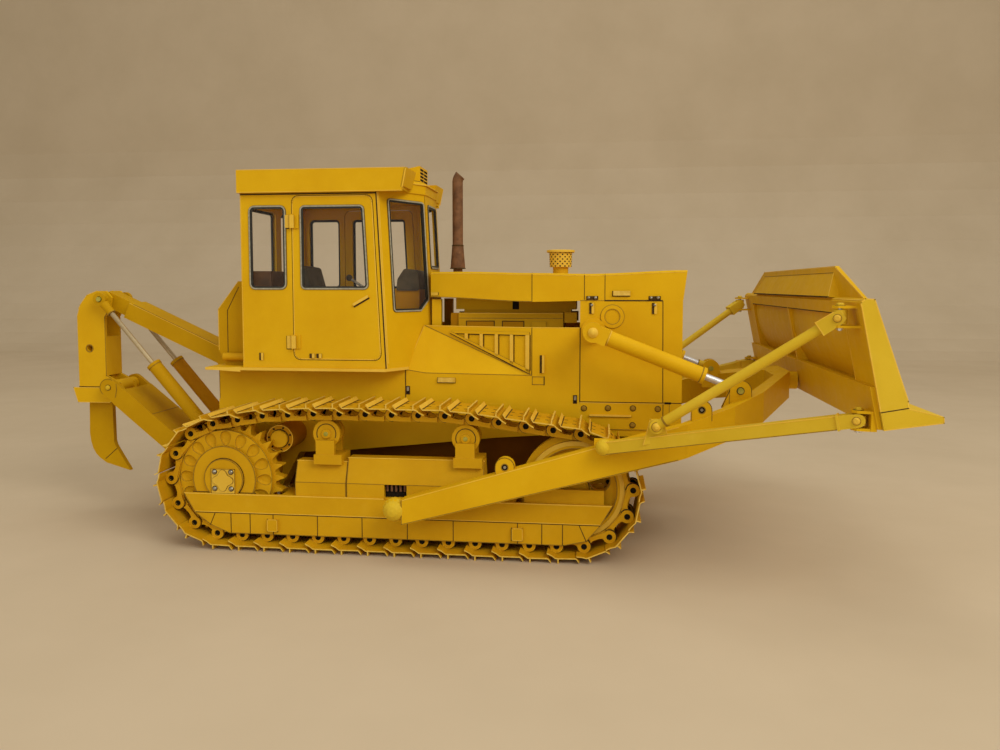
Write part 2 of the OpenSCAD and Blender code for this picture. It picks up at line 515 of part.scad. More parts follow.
// ---- lift cylinders ----
LIFT_B = 40;
module lift_barrel() {
  difference() {
    union() {
      rod(LIFT_T, LIFT_P, lift_r, -LIFT_Y, 0, LIFT_B);
      cy(LIFT_T, 3.3, -40.6, -35.7);
    }
    cy(LIFT_T, 1.45, -42, -35);
    rod(LIFT_T, LIFT_P, lift_rod_r + 0.3, -LIFT_Y, 3.4, LIFT_B + 1);
  }
}
LIFT_L = len2(LIFT_T, LIFT_P);
module lift_rod() {
  difference() {
    union() {
      rod(LIFT_T, LIFT_P, lift_rod_r, -LIFT_Y, 4.6, LIFT_L - 1.4);
      cy(LIFT_P, 2.6, -39.4, -36.6);
    }
    cy(LIFT_P, 1.2, -42, -34);
  }
}
module lift_barrel_right() { color(YELLOW) at() lift_barrel(); }
module lift_barrel_left() { color(YELLOW) at() left() lift_barrel(); }
module lift_rod_right() { color(CHROME) at() lift_rod(); }
module lift_rod_left() { color(CHROME) at() left() lift_rod(); }

// ---- ripper ----
module ripper_arm() { color(YELLOW) at() {
  difference() {
    pxz(link_pts(RA, RD, 3.9, 0, 12), -8, 8);
    cy(RA, 1.45, -12, 12);
  }
  pxz(bar_pts(RA, RD, 7.6, 8, 50), -10.5, 10.5);
  both() difference() {
    pxz(link_pts(RD, RA, 3.6, 0, 14), 8.4, 10.4);
    cy(RD, 1.2, 0, 12);
  }
  cy(RD, 1.2, -10.4, 10.4);
} }
module ripper_link() { color(YELLOW) at() {
  difference() { pxz(link_pts(RB, RC, 3.4, 0, 46), -6, 6); cy(RB, 1.25, -12, 12); }
  difference() { pxz(link_pts(RC, RB, 3.0, 0, 12), -4, 4); cy(RC, 1.2, -12, 12); }
} }
BEAM = [[-214, 46], [-214, 80.5], [-212.6, 85], [-209.5, 89], [-205, 90.7], [-201, 90.7], [-198.6, 88], [-199.4, 84], [-201.8, 80], [-201.8, 56], [-195.6, 53], [-195.2, 50.4], [-197, 48.6], [-199.6, 46]];
module ripper_beam() { color(YELLOW) at() difference() {
  union() {
    both() pxz(BEAM, 4.3, 5.5);
    bx(-214, -211.8, -4.4, 4.4, 46, 84);
    bx(-211.9, -203.4, -4.4, -2.6, 46, 72);
    bx(-211.9, -203.4, 2.6, 4.4, 46, 72);
    cy(RD, 2.6, -8.1, 8.1);
    bx(-203.5, -201.8, -4.4, 4.4, 56, 72);
    pxz([[-216.3, 51], [-214.5, 45], [-200.2, 45], [-199.8, 49.4], [-203, 51]], -5.9, -5.4);
    pxz([[-216.3, 51], [-214.5, 45], [-200.2, 45], [-199.8, 49.4], [-203, 51]], 5.4, 5.9);
  }
  cy(RD, 1.25, -12, 12);
  cy([-208.9, 67.2], beam_hole_r, -12, 12);
} }
module ripper_shank() { color(YELLOW) at() difference() {
  pxz([[-211.5, 71], [-211.5, 30], [-210.2, 24], [-207.4, 20.4], [-203.5, 18.4], [-192.8, 17.2], [-195.4, 20.4], [-199.6, 23.6], [-201.2, 28], [-201.2, 45], [-203.7, 45], [-203.7, 71]], -shank_ht, shank_ht);
  cy([-208.9, 67.2], beam_hole_r, -12, 12);
} }
RIP_L = len2(RE, RC);
RIP_B = 45.2;
module ripper_barrel() { difference() {
  union() { rod(RE, RC, rip_r, -RIP_Y, 0, RIP_B); cy(RE, 2.9, -10.3, -7.7); }
  cy(RE, 1.25, -12, -5);
  rod(RE, RC, rip_rod_r + 0.3, -RIP_Y, 3.4, RIP_B + 1);
} }
module ripper_rod() { difference() {
  union() { rod(RE, RC, rip_rod_r, -RIP_Y, 13.5, RIP_L - 1.4); cy(RC, 3, -9.9, -8.1); }
  cy(RC, 1.2, -12, -6);
} }
module ripper_barrel_right() { color(YELLOW) at() ripper_barrel(); }
module ripper_barrel_left() { color(YELLOW) at() left() ripper_barrel(); }
module ripper_rod_right() { color(CHROME) at() ripper_rod(); }
module ripper_rod_left() { color(CHROME) at() left() ripper_rod(); }

main_frame();
nose_plate();
side_panel_right();
side_panel_left();
radiator_housing();
radiator_grille();
hood();
firewall();
engine_block();
exhaust_pipe();
air_cleaner();
deck_plate();
fuel_tank();
cab_rear_wall();
cab_right_wall();
cab_left_wall();
cab_corner_right();
cab_corner_left();
windshield_wall();
cab_roof();
roof_visor();
cab_glass();
operator_seat();
control_console();
track_frame_right();
track_frame_left();
sprockets();
idlers();
carrier_rollers();
track_rollers();
final_drives();
cross_shafts();
track_right();
track_left();
door_right();
door_left();
door_right_glass();
door_left_glass();
c_frame();
blade();
cutting_edge();
strut_right();
strut_left();
brace_right();
brace_left();
lift_barrel_right();
lift_barrel_left();
lift_rod_right();
lift_rod_left();
ripper_arm();
ripper_link();
ripper_beam();
ripper_shank();
ripper_barrel_right();
ripper_barrel_left();
ripper_rod_right();
ripper_rod_left();
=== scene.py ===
import math
import random

import bpy
from mathutils import Matrix, Vector


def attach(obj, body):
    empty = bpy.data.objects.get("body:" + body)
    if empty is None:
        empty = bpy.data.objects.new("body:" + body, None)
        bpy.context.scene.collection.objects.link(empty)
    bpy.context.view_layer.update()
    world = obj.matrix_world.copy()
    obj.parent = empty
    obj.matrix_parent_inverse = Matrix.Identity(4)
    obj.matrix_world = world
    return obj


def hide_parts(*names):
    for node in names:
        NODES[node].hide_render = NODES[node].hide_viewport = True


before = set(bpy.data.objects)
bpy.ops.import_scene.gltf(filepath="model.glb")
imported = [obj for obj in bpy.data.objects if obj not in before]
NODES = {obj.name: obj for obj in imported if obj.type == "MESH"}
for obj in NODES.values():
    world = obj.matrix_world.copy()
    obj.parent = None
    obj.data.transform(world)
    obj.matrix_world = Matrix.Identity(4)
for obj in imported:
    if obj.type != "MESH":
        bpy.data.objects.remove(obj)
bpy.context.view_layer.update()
bpy.context.scene.view_settings.view_transform = "Standard"
XO = 63.05  # mm, shift from the measuring frame to the row frame


# ------------------------------------------------------------------ materials
def lin(r, g, b, a=1.0):
    f = lambda c: c / 12.92 if c <= 0.04045 else ((c + 0.055) / 1.055) ** 2.4
    return (f(r / 255), f(g / 255), f(b / 255), a)


def base_mat(name):
    m = bpy.data.materials.new(name)
    m.use_nodes = True
    nt = m.node_tree
    nt.nodes.clear()
    out = nt.nodes.new("ShaderNodeOutputMaterial")
    bs = nt.nodes.new("ShaderNodeBsdfPrincipled")
    nt.links.new(bs.outputs[0], out.inputs[0])
    return m, nt, bs


def noise(nt, vec, scale, detail=2.0, rough=0.5, stretch=None):
    n = nt.nodes.new("ShaderNodeTexNoise")
    n.inputs["Scale"].default_value = scale
    n.inputs["Detail"].default_value = detail
    n.inputs["Roughness"].default_value = rough
    if stretch:
        mp = nt.nodes.new("ShaderNodeMapping")
        mp.inputs["Scale"].default_value = stretch
        nt.links.new(vec, mp.inputs["Vector"])
        nt.links.new(mp.outputs[0], n.inputs["Vector"])
    else:
        nt.links.new(vec, n.inputs["Vector"])
    return n.outputs["Fac"]


def ramp(nt, fac, lo, hi, a=0.0, b=1.0):
    r = nt.nodes.new("ShaderNodeMapRange")
    r.inputs["From Min"].default_value = lo
    r.inputs["From Max"].default_value = hi
    r.inputs["To Min"].default_value = a
    r.inputs["To Max"].default_value = b
    nt.links.new(fac, r.inputs["Value"])
    return r.outputs[0]


def mix(nt, fac, a, b, blend="MIX"):
    n = nt.nodes.new("ShaderNodeMix")
    n.data_type = "RGBA"
    n.blend_type = blend
    if isinstance(fac, float):
        n.inputs[0].default_value = fac
    else:
        nt.links.new(fac, n.inputs[0])
    for v, s in ((a, 6), (b, 7)):
        if isinstance(v, tuple):
            n.inputs[s].default_value = v
        else:
            nt.links.new(v, n.inputs[s])
    return n.outputs[2]


def card(name, col, deep, pale, rough=0.46, edge=0.0, edge_r=0.00035, fibre=0.5, spec=0.4, dust=0.25):
    """Painted card: blotchy tone, fine paper fibre, arrises paler in patches."""
    m, nt, bs = base_mat(name)
    tc = nt.nodes.new("ShaderNodeTexCoord").outputs["Object"]
    blot = ramp(nt, noise(nt, tc, 46, 4, 0.6), 0.32, 0.72)
    c = mix(nt, blot, col, deep)
    patch = ramp(nt, noise(nt, tc, 190, 3, 0.65), 0.55, 0.8, 0.0, dust)
    c = mix(nt, patch, c, pale)
    grain = noise(nt, tc, 2300, 3, 0.6)
    c = mix(nt, ramp(nt, grain, 0.35, 0.75, 0.0, 0.16), c, deep)
    if edge > 0:
        bv = nt.nodes.new("ShaderNodeBevel")
        bv.samples = 4
        bv.inputs["Radius"].default_value = edge_r
        ge = nt.nodes.new("ShaderNodeNewGeometry")
        dt = nt.nodes.new("ShaderNodeVectorMath")
        dt.operation = "DOT_PRODUCT"
        nt.links.new(bv.outputs[0], dt.inputs[0])
        nt.links.new(ge.outputs["Normal"], dt.inputs[1])
        arris_mask = ramp(nt, dt.outputs["Value"], 0.97, 0.8, 0.0, edge)
        arris_patches = ramp(nt, noise(nt, tc, 420, 3, 0.7), 0.3, 0.62)
        mu = nt.nodes.new("ShaderNodeMath")
        mu.operation = "MULTIPLY"
        nt.links.new(arris_mask, mu.inputs[0])
        nt.links.new(arris_patches, mu.inputs[1])
        c = mix(nt, mu.outputs[0], c, pale)
    nt.links.new(c, bs.inputs["Base Color"])
    nt.links.new(ramp(nt, noise(nt, tc, 320, 3, 0.6), 0.3, 0.7, rough - 0.07, rough + 0.1), bs.inputs["Roughness"])
    bs.inputs["Specular IOR Level"].default_value = spec
    bp = nt.nodes.new("ShaderNodeBump")
    bp.inputs["Strength"].default_value = fibre
    bp.inputs["Distance"].default_value = 0.00004
    nt.links.new(grain, bp.inputs["Height"])
    bp2 = nt.nodes.new("ShaderNodeBump")
    bp2.inputs["Strength"].default_value = 0.35
    bp2.inputs["Distance"].default_value = 0.0006
    nt.links.new(noise(nt, tc, 60, 2, 0.5), bp2.inputs["Height"])
    nt.links.new(bp2.outputs[0], bp.inputs["Normal"])
    nt.links.new(bp.outputs[0], bs.inputs["Normal"])
    return m


def two_tone(name, a, b, scale, rough, metallic=0.0, bump=0.0, dist=0.00005, spec=0.5, stretch=None):
    m, nt, bs = base_mat(name)
    tc = nt.nodes.new("ShaderNodeTexCoord").outputs["Object"]
    f = noise(nt, tc, scale, 4, 0.65, stretch)
    nt.links.new(mix(nt, ramp(nt, f, 0.35, 0.68), a, b), bs.inputs["Base Color"])
    nt.links.new(ramp(nt, f, 0.3, 0.7, max(0.04, rough - 0.08), rough + 0.08), bs.inputs["Roughness"])
    bs.inputs["Metallic"].default_value = metallic
    bs.inputs["Specular IOR Level"].default_value = spec
    if bump:
        bp = nt.nodes.new("ShaderNodeBump")
        bp.inputs["Strength"].default_value = bump
        bp.inputs["Distance"].default_value = dist
        nt.links.new(f, bp.inputs["Height"])
        nt.links.new(bp.outputs[0], bs.inputs["Normal"])
    return m


M = {}
M["yellow"] = card("yellow_card", lin(222, 174, 18), lin(211, 160, 12), lin(232, 193, 58), edge=0.45, spec=0.06, dust=0.08)
M["body"] = card("yellow_body", lin(223, 175, 18), lin(213, 162, 12), lin(233, 195, 60), edge=0.3, rough=0.5, spec=0.06, dust=0.07)
M["plain"] = card("yellow_plain", lin(223, 175, 18), lin(213, 162, 12), lin(233, 195, 60), rough=0.5, spec=0.1, dust=0.07)
M["under"] = card("yellow_under", lin(212, 162, 17), lin(198, 147, 11), lin(226, 188, 64), edge=0.4, rough=0.55, spec=0.08, dust=0.1)
M["track"] = card("yellow_track", lin(210, 160, 16), lin(192, 138, 10), lin(228, 195, 80), edge=0.3, rough=0.58, spec=0.08, dust=0.14)
M["strut"] = card("yellow_green", lin(217, 181, 44), lin(205, 167, 30), lin(230, 203, 90), edge=0.5, rough=0.52, spec=0.1, dust=0.1)
# deep: the yellow darkened to stand for the shade on the ripper and fuel tank, painted shade
M["deep"] = card("yellow_painted_shade", lin(198, 151, 6), lin(186, 138, 4), lin(214, 171, 40), edge=0.35, rough=0.55, spec=0.06, dust=0.06)
M["pale"] = card("pale_card", lin(228, 186, 62), lin(216, 170, 44), lin(236, 206, 110), edge=0.3, rough=0.55, spec=0.2, dust=0.16)
# paler yellow for lines along arrises, folds and raised tops: partly the card's pale cut edges, partly painted
# highlight
M["edge"] = card("pale_edge_highlight", lin(233, 191, 66), lin(222, 174, 44), lin(238, 208, 112), rough=0.55, spec=0.2, dust=0.2)
M["cream"] = two_tone("card_edge", lin(226, 190, 84), lin(206, 162, 46), 700, 0.6, bump=0.3, spec=0.25)
M["shade"] = card("yellow_shade", lin(192, 136, 8), lin(172, 114, 6), lin(208, 158, 30), edge=0.2, rough=0.6, spec=0.06, dust=0.08)
# dark lines: drawn seams, and painted shadow along and under raised parts
M["line"] = two_tone("seam_and_shadow_line", lin(84, 58, 12), lin(52, 38, 12), 900, 0.7, bump=0.2, spec=0.2)
M["olive"] = two_tone("olive_edge", lin(138, 104, 18), lin(164, 126, 30), 700, 0.62, bump=0.25, spec=0.2)
M["green"] = two_tone("green_pin", lin(150, 146, 44), lin(184, 170, 70), 500, 0.4, bump=0.25, spec=0.3)
# near black for holes, bores, slits and gaps: painted shade inside them
M["dark"] = two_tone("hole_shade", lin(34, 26, 14), lin(20, 16, 10), 800, 0.8, bump=0.2, spec=0.15)
M["rubber"] = two_tone("window_seal", lin(48, 46, 38), lin(30, 29, 24), 1200, 0.5, bump=0.35, spec=0.3)
M["grey"] = two_tone("grey_seal", lin(170, 165, 140), lin(138, 132, 106), 900, 0.55, bump=0.25, spec=0.3)
M["seat"] = two_tone("seat_card", lin(92, 78, 54), lin(66, 56, 40), 240, 0.65, bump=0.4, dist=0.0001, spec=0.25)
M["chrome"] = two_tone("silver_rod", lin(226, 225, 222), lin(206, 205, 202), 90, 0.4, metallic=0.6)
# dark brown standing for the shade in the hollow under the hull: painted shade
M["cavity"] = card("brown_shade", lin(128, 78, 8), lin(100, 58, 6), lin(146, 96, 20), rough=0.7, spec=0.04, dust=0.05)
M["rod"] = two_tone("dull_rod", lin(186, 166, 124), lin(158, 138, 98), 90, 0.42, metallic=0.25, bump=0.03)
M["rust"] = two_tone("rust_card", lin(128, 88, 54), lin(92, 62, 38), 330, 0.72, bump=0.6, dist=0.00012, spec=0.25)
M["brown"] = two_tone("brown_card", lin(104, 70, 36), lin(72, 48, 26), 260, 0.65, bump=0.5, dist=0.0001, spec=0.25)
M["black"] = two_tone("dark_card", lin(46, 43, 38), lin(28, 26, 24), 300, 0.6, bump=0.4, dist=0.0001, spec=0.25)
M["steel"] = two_tone("steel_bolt", lin(170, 164, 146), lin(124, 116, 96), 900, 0.35, metallic=0.8, bump=0.2)


def film():
    m, nt, bs = base_mat("clear_film")
    tc = nt.nodes.new("ShaderNodeTexCoord").outputs["Object"]
    nt.links.new(mix(nt, ramp(nt, noise(nt, tc, 90, 3, 0.6), 0.35, 0.7), (0.93, 0.94, 0.92, 1), (0.86, 0.87, 0.83, 1)), bs.inputs["Base Color"])
    nt.links.new(ramp(nt, noise(nt, tc, 240, 3, 0.6), 0.3, 0.7, 0.03, 0.11), bs.inputs["Roughness"])
    bs.inputs["Specular IOR Level"].default_value = 0.3
    bs.inputs["Alpha"].default_value = 0.01
    return m


M["film"] = film()


# ------------------------------------------------------------------ mesh making (mm, measuring frame)
class Mesh:
    def __init__(self):
        self.v, self.f, self.m = [], [], []
        self.smooth = []

    def add(self, verts, faces, mat, smooth=False):
        o = len(self.v)
        self.v += [tuple(p) for p in verts]
        for q in faces:
            self.f.append([o + i for i in q])
            self.m.append(mat)
            self.smooth.append(smooth)

    def loft(self, rings, mat, close=True, caps=True, smooth=False, cap_mat=None):
        n = len(rings[0])
        vs = [p for r in rings for p in r]
        fs = []
        for k in range(len(rings) - 1):
            for i in range(n if close else n - 1):
                j = (i + 1) % n
                fs.append((k * n + i, k * n + j, (k + 1) * n + j, (k + 1) * n + i))
        self.add(vs, fs, mat, smooth)
        if caps:
            cm = mat if cap_mat is None else cap_mat
            self.add(rings[0], [tuple(range(n))[::-1]], cm)
            self.add(rings[-1], [tuple(range(n))], cm)

    def box(self, x0, x1, y0, y1, z0, z1, mat):
        self.loft([[(x0, y0, z0), (x1, y0, z0), (x1, y1, z0), (x0, y1, z0)], [(x0, y0, z1), (x1, y0, z1), (x1, y1, z1), (x0, y1, z1)]], mat)

    def xz(self, pts, y0, y1, mat, cap_mat=None):
        # points wind anticlockwise in x-z as seen from -y
        a = sum(pts[i][0] * pts[(i + 1) % len(pts)][1] - pts[(i + 1) % len(pts)][0] * pts[i][1] for i in range(len(pts)))
        p = pts if a > 0 else pts[::-1]
        lo, hi = min(y0, y1), max(y0, y1)
        self.loft([[(x, hi, z) for x, z in p], [(x, lo, z) for x, z in p]], mat, cap_mat=cap_mat)

    def xy(self, pts, z0, z1, mat, cap_mat=None):
        a = sum(pts[i][0] * pts[(i + 1) % len(pts)][1] - pts[(i + 1) % len(pts)][0] * pts[i][1] for i in range(len(pts)))
        p = pts if a > 0 else pts[::-1]
        self.loft([[(x, y, min(z0, z1)) for x, y in p], [(x, y, max(z0, z1)) for x, y in p]], mat, cap_mat=cap_mat)

    def yz(self, pts, x0, x1, mat, cap_mat=None):
        a = sum(pts[i][0] * pts[(i + 1) % len(pts)][1] - pts[(i + 1) % len(pts)][0] * pts[i][1] for i in range(len(pts)))
        p = pts if a > 0 else pts[::-1]
        self.loft([[(min(x0, x1), y, z) for y, z in p], [(max(x0, x1), y, z) for y, z in p]], mat, cap_mat=cap_mat)

    def turn(self, c, d, prof, mat, seg=32, smooth=True, cap0=True, cap1=True):
        """Solid turned about axis d through c: prof is a list of (along, radius)."""
        d = Vector(d).normalized()
        u = d.orthogonal().normalized()
        w = d.cross(u)
        c = Vector(c)
        rings = []
        for a, r in prof:
            rings.append([tuple(c + d * a + (u * math.cos(t) + w * math.sin(t)) * r) for t in [2 * math.pi * i / seg for i in range(seg)]])
        for k in range(len(rings) - 1):
            self.loft(rings[k:k + 2], mat if not isinstance(mat, (list, tuple)) else mat[k], caps=False, smooth=smooth)
        m0 = mat if not isinstance(mat, (list, tuple)) else mat[0]
        m1 = mat if not isinstance(mat, (list, tuple)) else mat[-1]
        if cap0:
            self.add(rings[0], [tuple(range(seg))[::-1]], m0)
        if cap1:
            self.add(rings[-1], [tuple(range(seg))], m1)

    def rod(self, p, q, r, mat, seg=20, r2=None):
        p, q = Vector(p), Vector(q)
        self.turn(p, q - p, [(0, r), ((q - p).length, r if r2 is None else r2)], mat, seg)

    def cyl(self, c, r, y0, y1, mat, seg=32, ch=0.0):
        """Round piece about a y axis at c = (x, z), from y0 to y1, its y0 arris broken by ch."""
        s = 1 if y1 > y0 else -1
        prof = [(0, r)] if ch == 0 else [(0, r - ch), (ch, r)]
        self.turn((c[0], y0, c[1]), (0, s, 0), prof + [(abs(y1 - y0), r)], mat, seg)

    def ring(self, c, r0, r1, y0, y1, mat, seg=32, a0=0.0, a1=360.0, edge=None):
        """Flat ring about a y axis, r0 inner, r1 outer."""
        full = abs(a1 - a0) >= 359.9
        n = seg if full else seg + 1
        an = [math.radians(a0 + (a1 - a0) * i / seg) for i in range(n)]
        sec = [(r0, y0), (r1, y0), (r1, y1), (r0, y1)]
        vs = [(c[0] + r * math.cos(t), y, c[1] + r * math.sin(t)) for t in an for r, y in sec]
        e = mat if edge is None else edge
        for i in range(seg):
            j = (i + 1) % n
            for k in range(4):
                l = (k + 1) % 4
                self.add([vs[i * 4 + k], vs[i * 4 + l], vs[j * 4 + l], vs[j * 4 + k]], [(0, 1, 2, 3)], mat if k in (0, 2) else e)
        if not full:
            self.add(vs[:4], [(0, 1, 2, 3)], e)
            self.add(vs[-4:], [(3, 2, 1, 0)], e)

    def line(self, pts, nrm, w, mat, t=0.07, close=False):
        """Thin raised strip of width w along pts, on a face with normal nrm."""
        n = Vector(nrm).normalized()
        p = [Vector(q) for q in pts]
        if close:
            p = p + [p[0]]
        for a, b in zip(p[:-1], p[1:]):
            d = (b - a)
            if d.length < 1e-6:
                continue
            d.normalize()
            s = n.cross(d).normalized() * (w / 2)
            a2, b2 = a - d * (w / 2), b + d * (w / 2)
            lo, hi = -n * 0.03, n * t
            self.loft([[a2 - s + lo, a2 + s + lo, a2 + s + hi, a2 - s + hi], [b2 - s + lo, b2 + s + lo, b2 + s + hi, b2 - s + hi]], mat)

    def mirror(self):
        o = Mesh()
        o.v = [(x, -y, z) for x, y, z in self.v]
        o.f = [f[::-1] for f in self.f]
        o.m, o.smooth = list(self.m), list(self.smooth)
        return o

    def join(self, o):
        k = len(self.v)
        self.v += o.v
        self.f += [[i + k for i in f] for f in o.f]
        self.m += o.m
        self.smooth += o.smooth
        return self


def make(name, me, body, mats, bevel=0.0, hides=(), both=False):
    if both:
        me = Mesh().join(me).join(me.mirror())
    d = bpy.data.meshes.new(name)
    d.from_pydata([((x + XO) / 1000, y / 1000, z / 1000) for x, y, z in me.v], [], me.f)
    keys = sorted(set(me.m)) if mats is None else list(mats)
    for k in keys:
        d.materials.append(M[k])
    idx = {k: i for i, k in enumerate(keys)}
    for p, k, s in zip(d.polygons, me.m, me.smooth):
        p.material_index = idx[k]
        p.use_smooth = s
    d.validate()
    d.update()
    o = bpy.data.objects.new(name, d)
    bpy.context.scene.collection.objects.link(o)
    if bevel > 0:
        b = o.modifiers.new("arris", "BEVEL")
        b.width = bevel / 1000
        b.segments = 1
        b.limit_method = "ANGLE"
        b.angle_limit = math.radians(50)
        b.harden_normals = False
    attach(o, body)
    if hides:
        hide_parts(*hides)
    return o


# ------------------------------------------------------------------ CAD nodes: finish
def finish_node(n, mat):
    o = NODES[n]
    o.data.materials.clear()
    o.data.materials.append(M[mat])


for n in NODES:
    finish_node(n, "body")
for n in ("track_rollers", "final_drives", "cross_shafts"):
    finish_node(n, "shade")
for n in ("main_frame", "engine_block", "firewall", "track_frame_right", "track_frame_left", "sprockets", "idlers", "carrier_rollers"):
    finish_node(n, "under")
for n in ("c_frame", "blade", "nose_plate"):
    finish_node(n, "yellow")
# ripper parts and fuel tank get the darkened yellow (painted shade), the far ripper barrel the shade yellow
for n in NODES:
    if n.startswith("ripper_") or n == "fuel_tank":
        finish_node(n, "shade" if n == "ripper_barrel_left" else "body" if n == "ripper_beam" else "deep")
for n in ("strut_right", "strut_left", "brace_right", "brace_left", "cutting_edge"):
    finish_node(n, "strut")
for n in NODES:
    if n.startswith(("lift_rod", "ripper_rod")):
        finish_node(n, "chrome")
    if n.endswith("glass"):
        finish_node(n, "film")
finish_node("radiator_grille", "black")
finish_node("control_console", "black")
finish_node("operator_seat", "brown")
finish_node("exhaust_pipe", "rust")

# ------------------------------------------------------------------ track path
SC, IC, SR, IR = (-133.2, 24.3), (-8.8, 23.7), 20.0, 19.4
KS = [(-50.0, 48.3), (-97.0, 48.4), (-119.0, 47.1)]
NS = 40


def tang(c, r, k, sg):
    return math.degrees(math.atan2(k[1] - c[1], k[0] - c[0])) + sg * math.degrees(math.acos(r / math.hypot(k[0] - c[0], k[1] - c[1])))


def onc(c, r, a):
    return (c[0] + r * math.cos(math.radians(a)), c[1] + r * math.sin(math.radians(a)))


IA, SA = tang(IC, IR, KS[0], -1), tang(SC, SR, KS[-1], 1)
PATH = [onc(IC, IR, -90 + (IA + 90) * i / 60) for i in range(61)] + KS + [onc(SC, SR, SA + (270 - SA) * i / 60) for i in range(61)]
PATH.append(PATH[0])
CUM = [0.0]
for a, b in zip(PATH[:-1], PATH[1:]):
    CUM.append(CUM[-1] + math.dist(a, b))
PLEN = CUM[-1]
PITCH = PLEN / NS


def pos(s):
    s = s % PLEN
    lo, hi = 0, len(CUM) - 1
    while hi - lo > 1:
        mid = (lo + hi) // 2
        if CUM[mid] <= s:
            lo = mid
        else:
            hi = mid
    t = (s - CUM[lo]) / (CUM[lo + 1] - CUM[lo])
    return (PATH[lo][0] + t * (PATH[lo + 1][0] - PATH[lo][0]), PATH[lo][1] + t * (PATH[lo + 1][1] - PATH[lo][1]))


def track_mesh():
    rnd = random.Random(7)
    tm = Mesh()
    for i in range(NS):
        A, B = pos((i + 0.34) * PITCH), pos((i + 1.34) * PITCH)
        L = math.dist(A, B)
        dx, dz = (B[0] - A[0]) / L, (B[1] - A[1]) / L
        nx, nz = dz, -dx
        tilt = rnd.uniform(-0.012, 0.012)
        off = rnd.uniform(-0.12, 0.06)

        def P(u, n, A=A, dx=dx, dz=dz, nx=nx, nz=nz, tilt=tilt, off=off):
            n2 = n + tilt * (u - 3.3) + off
            return (A[0] + dx * u + nx * n2, A[1] + dz * u + nz * n2)

        def Q(u, n, A=A, dx=dx, dz=dz, nx=nx, nz=nz):
            return (A[0] + dx * u + nx * n, A[1] + dz * u + nz * n)

        # bent shoe plate: inner lip, flat, outer lip, and the upright grouser
        t = 0.42
        mid = [(-3.0, 0.95), (-1.4, 1.7), (-0.15, 2.62), (0.5, 2.68), (6.5, 2.68), (6.9, 2.85), (7.75, 3.95)]
        up = [P(u, n + t / 2) for u, n in mid]
        lo = [P(u, n - t / 2) for u, n in mid]
        w0 = -50 + rnd.uniform(-0.15, 0.1)
        w1 = -30 + rnd.uniform(-0.1, 0.15)
        ring = up + lo[::-1]
        tm.xz(ring, w0, w1, "track", cap_mat="cream")
        fin = [P(0.45, 2.7), P(0.95, 2.7), P(0.9, 4.3), P(0.5, 4.3)]
        tm.xz(fin, w0 + 0.1, w1 - 0.1, "track", cap_mat="cream")
        # rolled foot of the grouser and its cut edge
        tm.xz([P(0.42, 4.16), P(0.98, 4.16), P(0.98, 4.32), P(0.42, 4.32)], w0 + 0.05, w1 - 0.05, "cream")
        # outer lip: its face in the paler yellow as painted highlight, its fold a dark strip of painted shade
        tm.xz([P(6.9, 3.02), P(7.76, 4.13), P(7.7, 4.22), P(6.84, 3.11)], w0 + 0.02, w1 - 0.02, "edge", cap_mat="cream")
        tm.xz([P(6.42, 2.84), P(6.8, 2.93), P(6.78, 3.03), P(6.42, 2.95)], w0 + 0.05, w1 - 0.05, "line")
        # slits, painted dark as the shade in them
        for y in (-43.3, -36.8):
            for u in (2.0, 5.05):
                tm.xz([P(u, 2.8), P(u + 1.2, 2.8), P(u + 1.2, 2.94), P(u, 2.94)], y - 0.27, y + 0.27, "dark")
        # chain links on both rails: eye and arm behind, boss in front with its pin bore painted dark as shade
        for ys, out in (((-44.1, -43.1), -44.95), ((-37.0, -36.0), -35.2)):
            eye = []
            for k in range(15):
                a = math.radians(-100 + 200 * k / 14)
                eye.append((L + 2.1 * math.cos(a), 2.1 * math.sin(a)))
            arm = eye + [(L - 1.9, 1.0), (L - 2.7, -0.1), (L - 3.9, -0.75), (3.4, -0.75), (2.4, -0.1), (1.6, 1.0)]
            for k in range(13):
                a = math.radians(90 + 180 * k / 12)
                arm.append((2.0 * math.cos(a), 2.0 * math.sin(a)))
            arm += [(0.6, -2.35), (L - 0.6, -2.35)]
            tm.xz([Q(u, n) for u, n in arm], ys[0], ys[1], "track")
            y0 = ys[0] if out < ys[0] else ys[1]
            c = B
            tm.ring(c, 0.95, 2.2, out, y0, "track", 28)
            tm.cyl(c, 0.97, y0 + (0.25 if out > y0 else -0.25), y0, "dark", 18)
            tm.ring(c, 0.9, 1.02, out - 0.02 if out < y0 else out + 0.02, out + 0.3 if out < y0 else out - 0.3, "dark", 18)
            # painted shadow: a dark arc where the boss lies on the next arm
            fa = math.degrees(math.atan2(dz, dx))
            tm.ring(c, 2.18, 2.5, y0 - 0.08 if out < y0 else y0 + 0.08, y0 + 0.05 if out < y0 else y0 - 0.05, "line", 20, fa - 100, fa + 100)
            front = [(2.6, -2.3), (L - 1.0, -2.05), (L - 1.0, -1.0), (L - 1.9, -0.25), (L - 3.8, -0.75), (3.4, -0.75), (2.7, -0.4)]
            tm.xz([Q(u, n) for u, n in front], out + (0.04 if out < y0 else -0.04), y0, "track")
        # pin between the rails
        tm.rod((B[0], -43.4, B[1]), (B[0], -36.2, B[1]), 1.0, "shade", 12)
    return tm


T = track_mesh()
make("track_shoes_right", T, "tractor", None, hides=("track_right",))
make("track_shoes_left", T.mirror(), "tractor", None, hides=("track_left",))

# ------------------------------------------------------------------ trim helpers
N = (0, -1, 0)


def rect(x0, x1, z0, z1):
    return [(x0, z0), (x1, z0), (x1, z1), (x0, z1)]


def signed(g):
    return sum(g[i][0] * g[(i + 1) % len(g)][1] - g[(i + 1) % len(g)][0] * g[i][1] for i in range(len(g)))


